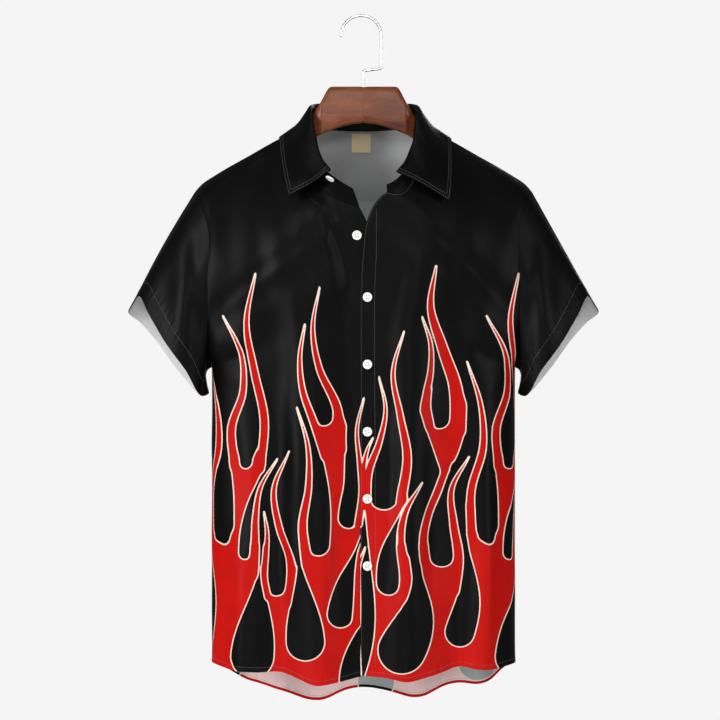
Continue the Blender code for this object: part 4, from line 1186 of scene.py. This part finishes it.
# The wrong side of the black cloth, in a shaded and a lit copy: darker in the yoke, as painted shade where it
# lies inside the neck, and lighter inside the sleeves, as painted light where light falls on it.
shaded_wrong_side = cloth_material("black_cloth_inside", (0.40, 0.405, 0.41), 0.6)
lit_wrong_side = cloth_material("sleeve_wrong_side_lit", (0.70, 0.70, 0.71), 0.65)
flames = cloth_material("flame_print", printed=((0.49, 0.0050, 0.0028), (0.86, 0.70, 0.60)))
wrong_side = ((0.93, 0.68, 0.66), (0.90, 0.80, 0.73))
flames_back = cloth_material("flame_print_wrong_side", (0.40, 0.45, 0.455), 0.6, wrong_side, 0.8)
# Mid-grey, far paler than the cloth; the row along the over front's edge stands in as a painted highlight.
thread = thread_material("thread_black", (0.11, 0.105, 0.10))
white_thread = thread_material("thread_white", (0.7, 0.7, 0.66))
white_button = button_material()

# --- Cloth ---
(under, under_flat), (over, over_flat) = fronts(DETAIL, FRONT_COLUMNS + 1)
yoke, back, back_flat = back_panels(under, over, DETAIL, 2, BACK_NECK_COLUMNS)
stand = stand_grid(DETAIL, BACK_NECK_COLUMNS, 20)

(low_under, _), (low_over, _) = fronts(2, 29)
low_yoke, low_back, _ = back_panels(low_under, low_over, 2, 1, 19)
covered = tree_of(low_under, low_over[:, ::-1], low_back[:, ::-1], low_yoke[:, ::-1])
leaf = refined(leaf_grid(covered, stand_grid(1, 9, 3)), LEAF_DETAIL)


def front_piece(name, grid, flat, creases, side, sign):
    """A front with its creases, turned edges, print and stitches. The creased grid comes back."""
    x, z = grid[..., 0], grid[..., 2]
    from_side, from_hem = lengthwise(grid, 1), lengthwise(grid, 0)
    from_edge = from_fold = from_side[:, -1:] - from_side
    if side == "over":
        from_fold = np.maximum(from_edge * (z < NECK_Z), x - OVER_EDGE_X)
    border = smoothstep(0, 10, from_side) * smoothstep(0, 6, from_hem[-1:] - from_hem)
    depth = crease_depth(creases, x, z) * border * smoothstep(0, 14, from_edge)
    depth += 0.7 * unevenness(x, z, 70, 1.3 + sign) * border * smoothstep(0, 30, from_edge)
    moved = grid + outward(grid) * depth[..., None]
    normal = outward(moved)
    thick = half_thickness(np.maximum(turned_edge(from_fold, PLACKET), turned_edge(from_hem, HEM)))
    groove = stitched(from_fold, PLACKET) + stitched(from_hem, HEM)
    groove += pucker(from_hem, x, HEM, 0.35, 13, sign)
    if side == "over":
        groove += pucker(from_fold, z, PLACKET, 0.16, 17, sign)
    field = print_field(*print_places(across_front(x, flat, sign), grid[..., 1], z), side)
    lifts, cloth, right_side = (thick + groove, thick - groove), (flat, z), from_hem < HEM - 1
    shell(name + "_cloth", moved, normal, lifts, cloth, (flames, flames_back), False, field, right_side)
    rows = [line_at(moved, normal, thick + groove, from_hem, HEM)[4:-2]]
    if side == "over":
        line = line_at(moved, normal, thick + groove, from_fold, PLACKET, 1)[3:]
        rows.append(line[from_fold.min(axis=1)[3:] < PLACKET - 3])
        # Stitches close to the over front's edge, in the pale thread: real edge stitching, and also a painted
        # highlight for the light that catches the folded edge.
        rows.append(line_at(moved, normal, thick + groove, from_edge, FRONT_STITCH_AND_HIGHLIGHT, 1)[3:-6])
    stitches(name + "_stitches", rows)
    return moved


under_cloth = front_piece("right_front", under, under_flat, UNDER_CREASES, "under", -1)
over_cloth = front_piece("left_front", over, over_flat, OVER_CREASES, "over", 1)


def back_piece():
    x, z = back[..., 0], back[..., 2]
    from_hem, from_side = lengthwise(back, 0), lengthwise(back, 1)
    from_side = np.minimum(from_side, from_side[:, -1:] - from_side)
    depth = crease_depth(BACK_CREASES, x, z) + 0.8 * unevenness(x, z, 80, 4.1)
    depth *= smoothstep(0, 12, from_side) * smoothstep(0, 10, from_hem[-1:] - from_hem)
    moved = back + outward(back) * depth[..., None]
    normal = outward(moved)
    thick = half_thickness(turned_edge(from_hem, HEM))
    groove = stitched(from_hem, HEM) + pucker(from_hem, x, HEM, 0.4, 14, 2.0)
    px, py = print_places(back_flat, np.full(z.shape, BACK_PRINT_Y), z)
    field = print_field(BACK_PRINT_TURNED - px, py - BACK_PRINT_LIFT, "back")
    lifts, cloth, right_side = (thick + groove, thick - groove), (back_flat, z), from_hem < HEM + 0.5
    shell("back_cloth", moved, normal, lifts, cloth, (flames, flames_back), False, field, right_side)
    outer = line_at(moved, normal, thick + groove, from_hem, HEM)[4:-4]
    inner = line_at(moved, -normal, thick - groove, from_hem, HEM)[4:-4]
    stitches("back_stitches", [outer, inner])


def yoke_piece():
    from_seam = lengthwise(yoke, 0)
    thick = CLOTH / 2 + 0.2 * turned_edge(from_seam, YOKE_STITCH)
    lifts, cloth = (thick + stitched(from_seam, YOKE_STITCH), thick), (yoke[..., 0], from_seam)
    shell("yoke_cloth", yoke, outward(yoke, (0, 0, -400)), lifts, cloth, (black, shaded_wrong_side))


def sleeve_piece(name, front, sign):
    grid = sleeve(sign, front, back, yoke, DETAIL)
    centre = grid.mean(axis=1, keepdims=True)
    depth = crease_depth(SLEEVE_CREASES, np.abs(grid[..., 0]), grid[..., 2])
    depth *= smoothstep(0, -12, grid[..., 1])
    from_seam = lengthwise(grid, 0)
    from_cuff = from_seam[-1:] - from_seam
    moved = grid + outward(grid, centre, True) * (depth * smoothstep(0, 12, from_seam))[..., None]
    normal = outward(moved, centre, True)
    way = np.arange(grid.shape[1])[None] * 2.6 + 0 * from_cuff
    thick = half_thickness(turned_edge(from_cuff, CUFF))
    groove = stitched(from_cuff, CUFF, 0.4) + pucker(from_cuff, way, CUFF, 0.3, 15, sign)
    lifts, cloth = (thick + groove, thick - groove), (way, from_seam)
    shell(name + "_cloth", moved, normal, lifts, cloth, (black, lit_wrong_side), True)
    stitches(name + "_stitches", [line_at(moved, normal, thick + groove, from_cuff, CUFF)])


def upright(grid):
    """The points beside a collar piece's places on its own upright axis."""
    return grid.mean(axis=(0, 1), keepdims=True) * (1, 1, 0) + grid * (0, 0, 1)


def stand_piece():
    from_seam = lengthwise(stand, 0)
    groove = stitched(from_seam, 3, 0.2) + stitched(from_seam[-1:] - from_seam, 3, 0.15)
    lifts, cloth = (COLLAR_CLOTH / 2 + groove,) * 2, (lengthwise(stand, 1), from_seam)
    shell("collar_stand_cloth", stand, outward(stand, upright(stand)), lifts, cloth, (black,))


def leaf_piece():
    across, way = lengthwise(leaf, 1), lengthwise(leaf, 0)
    to_edge, to_end = across[:, -1:] - across, way[-1:] - way
    from_edge = np.minimum(to_edge, np.minimum(way, to_end))
    lift = COLLAR_CLOTH / 2 + stitched(from_edge, 5.5, 0.22) + stitched(from_edge, 1.6, 0.15, 0.7)
    normal = outward(leaf, upright(leaf))
    shell("collar_leaf_cloth", leaf, normal, (lift, COLLAR_CLOTH / 2), (way, across), (black,))
    rows = []
    for inset in LEAF_STITCHES:
        inside = (way[:, -1] > inset) & (to_end[:, -1] > inset)
        rows.append(line_at(leaf, normal, lift, to_edge, inset, 1)[inside])
        last = -int(inset / (to_edge[0, 0] / (leaf.shape[1] - 1)))
        rows += [line_at(leaf, normal, lift, far, inset)[6:last] for far in (way, to_end)]
    stitches("collar_leaf_stitches", rows)


back_piece()
yoke_piece()
sleeve_piece("right_sleeve", under, -1)
sleeve_piece("left_sleeve", over, 1)
stand_piece()
leaf_piece()


# --- Buttons, label, hanger ---
def circle(count, start=0.0):
    """The cosines and sines of so many turns, evenly round."""
    turns = 2 * math.pi * (np.arange(count) + start) / count
    return zip(np.cos(turns), np.sin(turns))


def lofted(name, rings, material, sharp=50):
    """A closed solid through rings of points, which all have the same number of sides."""
    sides = len(rings[0])
    points = [p for ring in rings for p in ring]
    faces = [tuple(reversed(range(sides)))]
    for r in range(len(rings) - 1):
        for k in range(sides):
            a, b = r * sides + k, r * sides + (k + 1) % sides
            faces.append((a, b, b + sides, a + sides))
    faces.append(tuple(range(len(points) - sides, len(points))))
    return new_object(name, points, faces, material, sharp=sharp)


def ring(radius, height, sides, x=0, y=0):
    return [(x + radius * c, y + radius * s, height) for c, s in circle(sides, 0.5)]


def tube(line, radius, material, sides=8):
    """A closed round tube along a line of points, which doesn't start upright."""
    ways = np.gradient(line, axis=0)
    ways /= np.linalg.norm(ways, axis=1, keepdims=True)
    rings = []
    side = np.cross(ways[0], (0, 0, 1.0))
    if np.linalg.norm(side) < 0.1:
        side = np.cross(ways[0], (1.0, 0, 0))
    for place, way in zip(line, ways):
        side = side - way * (side @ way)
        side /= np.linalg.norm(side)
        other = np.cross(way, side)
        rings.append([place + radius * (c * side + s * other) for c, s in circle(sides)])
    return lofted("strand", rings, material, 60)


def joined_objects(objs, name):
    """Several meshes as one object, each keeping its material."""
    for obj in bpy.context.selected_objects:
        obj.select_set(False)
    for obj in objs:
        obj.select_set(True)
    bpy.context.view_layer.objects.active = objs[0]
    bpy.ops.object.join()
    objs[0].name = objs[0].data.name = name
    return objs[0]


def drilled(obj, posts):
    """The object with the posts cut out of it."""
    cutter = joined_objects(posts, "holes")
    cut = obj.modifiers.new("holes", "BOOLEAN")
    cut.operation, cut.solver, cut.object = "DIFFERENCE", "EXACT", cutter
    depsgraph = bpy.context.evaluated_depsgraph_get()
    mesh = bpy.data.meshes.new_from_object(obj.evaluated_get(depsgraph), depsgraph=depsgraph)
    obj.modifiers.clear()
    obj.data = mesh
    bpy.data.objects.remove(cutter)
    return obj


def button(name, place, direction, spin=0.0):
    """A four-hole button and its thread, with its back at a place and its face towards a direction."""
    at = BUTTON_HOLE_OFFSET
    posts = []
    for x, y in ((at, at), (-at, at), (-at, -at), (at, -at)):
        posts.append(lofted("hole", [ring(BUTTON_HOLE_RADIUS, h, 16, x, y) for h in (-1, 4)], white_button))
    rings = [ring(r * BUTTON_RADIUS, h, 48) for r, h in zip(*BUTTON.values())]
    parts = [drilled(lofted(name, rings, white_button, 35), posts)]
    t = np.linspace(0, 1, 11)
    x = at * np.cos(math.pi * t) * (1 + 0.06 * np.sin(math.pi * t))
    lift = 0.1 + 2.12 * np.clip(np.sin(math.pi * t), 0, 1) ** 0.35
    for y in (at - STRAND_GAP, at + STRAND_GAP, -at - STRAND_GAP, -at + STRAND_GAP):
        parts.append(tube(np.stack([x, np.full_like(x, y), lift], axis=1), STRAND_RADIUS, white_thread))
    obj = joined_objects(parts, name)
    turn = Vector(direction).to_track_quat("Z", "Y").to_matrix()
    c, s = math.cos(spin), math.sin(spin)
    for vertex in obj.data.vertices:
        x, y, z = vertex.co
        spun = turn @ Vector((x * c - y * s, x * s + y * c, z))
        vertex.co = Vector(in_frame(np.array(place) + np.array(spun)))
    pieces[name] = obj


def on_surface(tree, x, z, front=True):
    start = Vector((x, -300 if front else 300, z))
    place, normal, _, _ = tree.ray_cast(start, Vector((0, 1 if front else -1, 0)))
    return place, normal if (normal.y < 0) == front else -normal


over_tree = tree_of(over_cloth)
for k, spin in enumerate(BUTTON_SPINS):
    place, normal = on_surface(over_tree, BUTTON_X, TOP_BUTTON_Z - k * BUTTON_PITCH)
    button(f"button_{k + 1}_shown", place + normal * (TURNED / 2 + 0.2), normal, spin)
place, normal = on_surface(tree_of(under_cloth), OPEN_BUTTON_X, OPEN_BUTTON_Z)
button("button_top_shown", place + normal * (CLOTH / 2 + 0.3), normal, 0.2)
place, normal = on_surface(tree_of(stand), BAND_BUTTON_X, BAND_BUTTON_Z)
tipped = Vector(BAND_BUTTON_FACE).normalized()
lifted = BUTTON_RADIUS * math.sin(math.acos(min(normal.dot(tipped), 1)))
button("button_band_shown", place + normal * (SOLID_COLLAR / 2 + SEAM + lifted), tipped)


def label_piece():
    """The woven label, hung from the stand's seam inside the neck."""
    tree = tree_of(yoke)
    off = CLOTH / 2 + SEAM + SOLID_CLOTH / 2
    wide = np.linspace(-LABEL_SIZE / 2, LABEL_SIZE / 2, 41) + HOLD[0]
    grid = []
    for z in np.linspace(LABEL_LOW_Z, LABEL_LOW_Z + LABEL_SIZE, 41):
        found = [on_surface(tree, x, z, False) for x in wide]
        grid.append([place - normal * off for place, normal in found])
    grid = np.array(grid)
    across, up = lengthwise(grid, 1), lengthwise(grid, 0)
    edge = np.minimum(np.minimum(across, across[:, -1:] - across), np.minimum(up, up[-1:] - up))
    thick = LABEL_CLOTH / 2 + 0.12 * turned_edge(edge, 2.0)
    normal = -outward(grid, (0, -400, -160))
    shell("neck_label_cloth", grid, normal, (thick, thick), (across, up), (label_material(),))


label_piece()


def hanger_half(name, sign):
    """One arm of the hanger, from the glued joint in the middle to its end, with a rounded lower edge."""
    stations = HANGER["out"]
    stretches = ((0.02, 40, 10), (42, 110, 46), (113, 200, 40))
    rings = []
    for out in np.concatenate([np.linspace(*stretch) for stretch in stretches]):
        y, half, corner = (np.interp(out, stations, HANGER[key]) for key in ("y", "half", "corner"))
        # Past the flat top, the drawn outline is rounded off a little between its stations.
        reach = 2.5 if out >= 6 else 0
        places = (out - reach, out, out, out + reach)
        top, bottom = (sum(np.interp(places, stations, HANGER[key])) / 4 for key in ("top", "bottom"))
        end = math.sqrt(max(1 - max((out - 192) / 8.2, 0) ** 2, 0.02))
        end *= 1 - 0.03 * math.exp(-out / 0.5)  # the joint's softened arris
        half, tall, middle = half * end, (top - bottom) / 2 * end, (top + bottom) / 2
        turned = [np.copysign(np.abs(pair) ** corner, pair) for pair in circle(48, 0.5)]
        points = [in_frame((sign * out, y + half * c, middle + tall * s)) for c, s in turned]
        rings.append(points if sign < 0 else points[::-1])
    wood = wood_material("wood_left" if sign < 0 else "wood_right", sign * 3.1, sign * 0.06)
    pieces[name] = lofted(name, rings, wood, 40)


hanger_half("hanger_left_half", -1)
hanger_half("hanger_right_half", 1)


def arc(x, z, radius, start, end, steps):
    turns = np.radians(np.linspace(start, end, steps))
    return np.stack([x + radius * np.cos(turns), 0 * turns, z + radius * np.sin(turns)], axis=1)


def hook_piece():
    """The hook's wire: a rounded end, the bow, and the jog back to the hanger's middle."""
    bow = HOOK_RADIUS + WIRE_RADIUS
    line = [
        arc(HOLD[0], -HOOK_RADIUS, bow, 180, 0, 61),
        arc(HOLD[0] + bow - JOG_RADIUS, JOG_Z + JOG_RADIUS, JOG_RADIUS, 0, -83, 12),
        arc(JOG_RADIUS, JOG_Z - JOG_DROP - JOG_RADIUS, JOG_RADIUS, 97, 180, 12),
        np.linspace((0, 0, -80), (0, 0, HANGER_TOP_Z - 6), 6),
    ]
    line = np.concatenate(line)
    ways = np.gradient(line, axis=0)
    ways /= np.linalg.norm(ways, axis=1, keepdims=True)
    shares = np.sin(np.linspace(0.05, math.pi / 2, 7)[:-1])
    backs = ways[0] * WIRE_RADIUS * np.sqrt(1 - shares**2)[:, None]
    stops = [(line[0] - back, ways[0], share) for back, share in zip(backs, shares)]
    stops += [(place, way, 1.0) for place, way in zip(line, ways)]
    rings = []
    for place, way, share in stops:
        across = np.array((-way[2], 0, way[0]))
        turned = [c * across + s * np.array((0, 1.0, 0)) for c, s in circle(24)]
        rings.append([in_frame(place + WIRE_RADIUS * share * side) for side in turned])
    pieces["hanger_hook_wire"] = lofted("hanger_hook_wire", rings, chrome_material(), 60)


hook_piece()

# --- Pieces attached to the root body, with the solids that they replace hidden ---
SLOTS = {
    "print_cloth": ("right_front_cloth", "left_front_cloth", "back_cloth"),
    "black_cloth": (
        "yoke_cloth",
        "right_sleeve_cloth",
        "left_sleeve_cloth",
        "collar_stand_cloth",
        "collar_leaf_cloth",
    ),
    "label": ("neck_label_cloth",),
    "chrome": ("hanger_hook_wire",),
    "wood": ("hanger_left_half", "hanger_right_half"),
    "button": [name for name in pieces if name.endswith("_shown")],
}
for name, obj in pieces.items():
    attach(obj, "root")
    for slot, dressed in SLOTS.items():
        if name in dressed:
            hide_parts("hanger_wood" if slot == "wood" else name.rsplit("_", 1)[0])


# --- Studio ---
def floor():
    """A pale round floor, some way under the shirt."""
    nodes = Nodes("studio_floor")
    shade = nodes.ramp(nodes.noise(nodes.place(), 3.0), (0.3, (0.80,) * 3), (0.7, (0.83,) * 3))
    pale = nodes.surface(shade, 0.9, Specular_IOR_Level=0.1)
    rim = [(FLOOR_RADIUS * c, FLOOR_RADIUS * s, FLOOR_Z) for c, s in circle(96)]
    new_object("studio_floor", rim, [tuple(range(96))], pale, sharp=50)


def light(name, place, target_z, width, height, power):
    lamp = bpy.data.lights.new(name, "AREA")
    lamp.shape, lamp.size, lamp.size_y, lamp.energy = "RECTANGLE", width, height, power
    obj = bpy.data.objects.new(name, lamp)
    obj.location = place
    obj.rotation_mode = "QUATERNION"
    obj.rotation_quaternion = (Vector((0, 0, target_z)) - Vector(place)).to_track_quat("-Z", "Y")
    bpy.context.scene.collection.objects.link(obj)


floor()
light("key_left", (-2.5, -2.3, 0.2), -0.45, 0.5, 2.0, 96)
light("fill_right", (2.6, -2.1, 0.0), -0.5, 0.4, 2.0, 40)
light("front", (0.1, -4.2, 0.7), -0.35, 0.9, 0.9, 37)
light("front_low", (0, -2.6, -1.15), -0.86, 1.0, 0.2, 7)
light("behind", (0.4, 3.2, 0.5), -0.5, 1.6, 1.6, 60)
light("top", (0, -0.4, 2.0), -0.3, 1.6, 0.6, 10)

world = bpy.data.worlds.new("studio")
bpy.context.scene.world = world
world.use_nodes = True
tree = world.node_tree
seen = tree.nodes.new("ShaderNodeLightPath").outputs["Is Camera Ray"]
strength = tree.nodes.new("ShaderNodeMapRange")
strength.inputs["To Min"].default_value, strength.inputs["To Max"].default_value = 0.16, 0.913
tree.links.new(seen, strength.inputs["Value"])
tree.links.new(strength.outputs[0], tree.nodes["Background"].inputs["Strength"])
tree.nodes["Background"].inputs["Color"].default_value = (1, 1, 1, 1)
bpy.context.scene.view_settings.view_transform = "Standard"

lens = bpy.data.cameras.new("photo_camera")
lens.lens, lens.sensor_width = 36 * 3.2 / 0.9504, 36
camera = bpy.data.objects.new("photo_camera", lens)
camera.location = (-0.0016, -3.2, -0.4528)
camera.rotation_euler = (math.pi / 2, 0, 0)
bpy.context.scene.collection.objects.link(camera)
bpy.context.scene.camera = camera
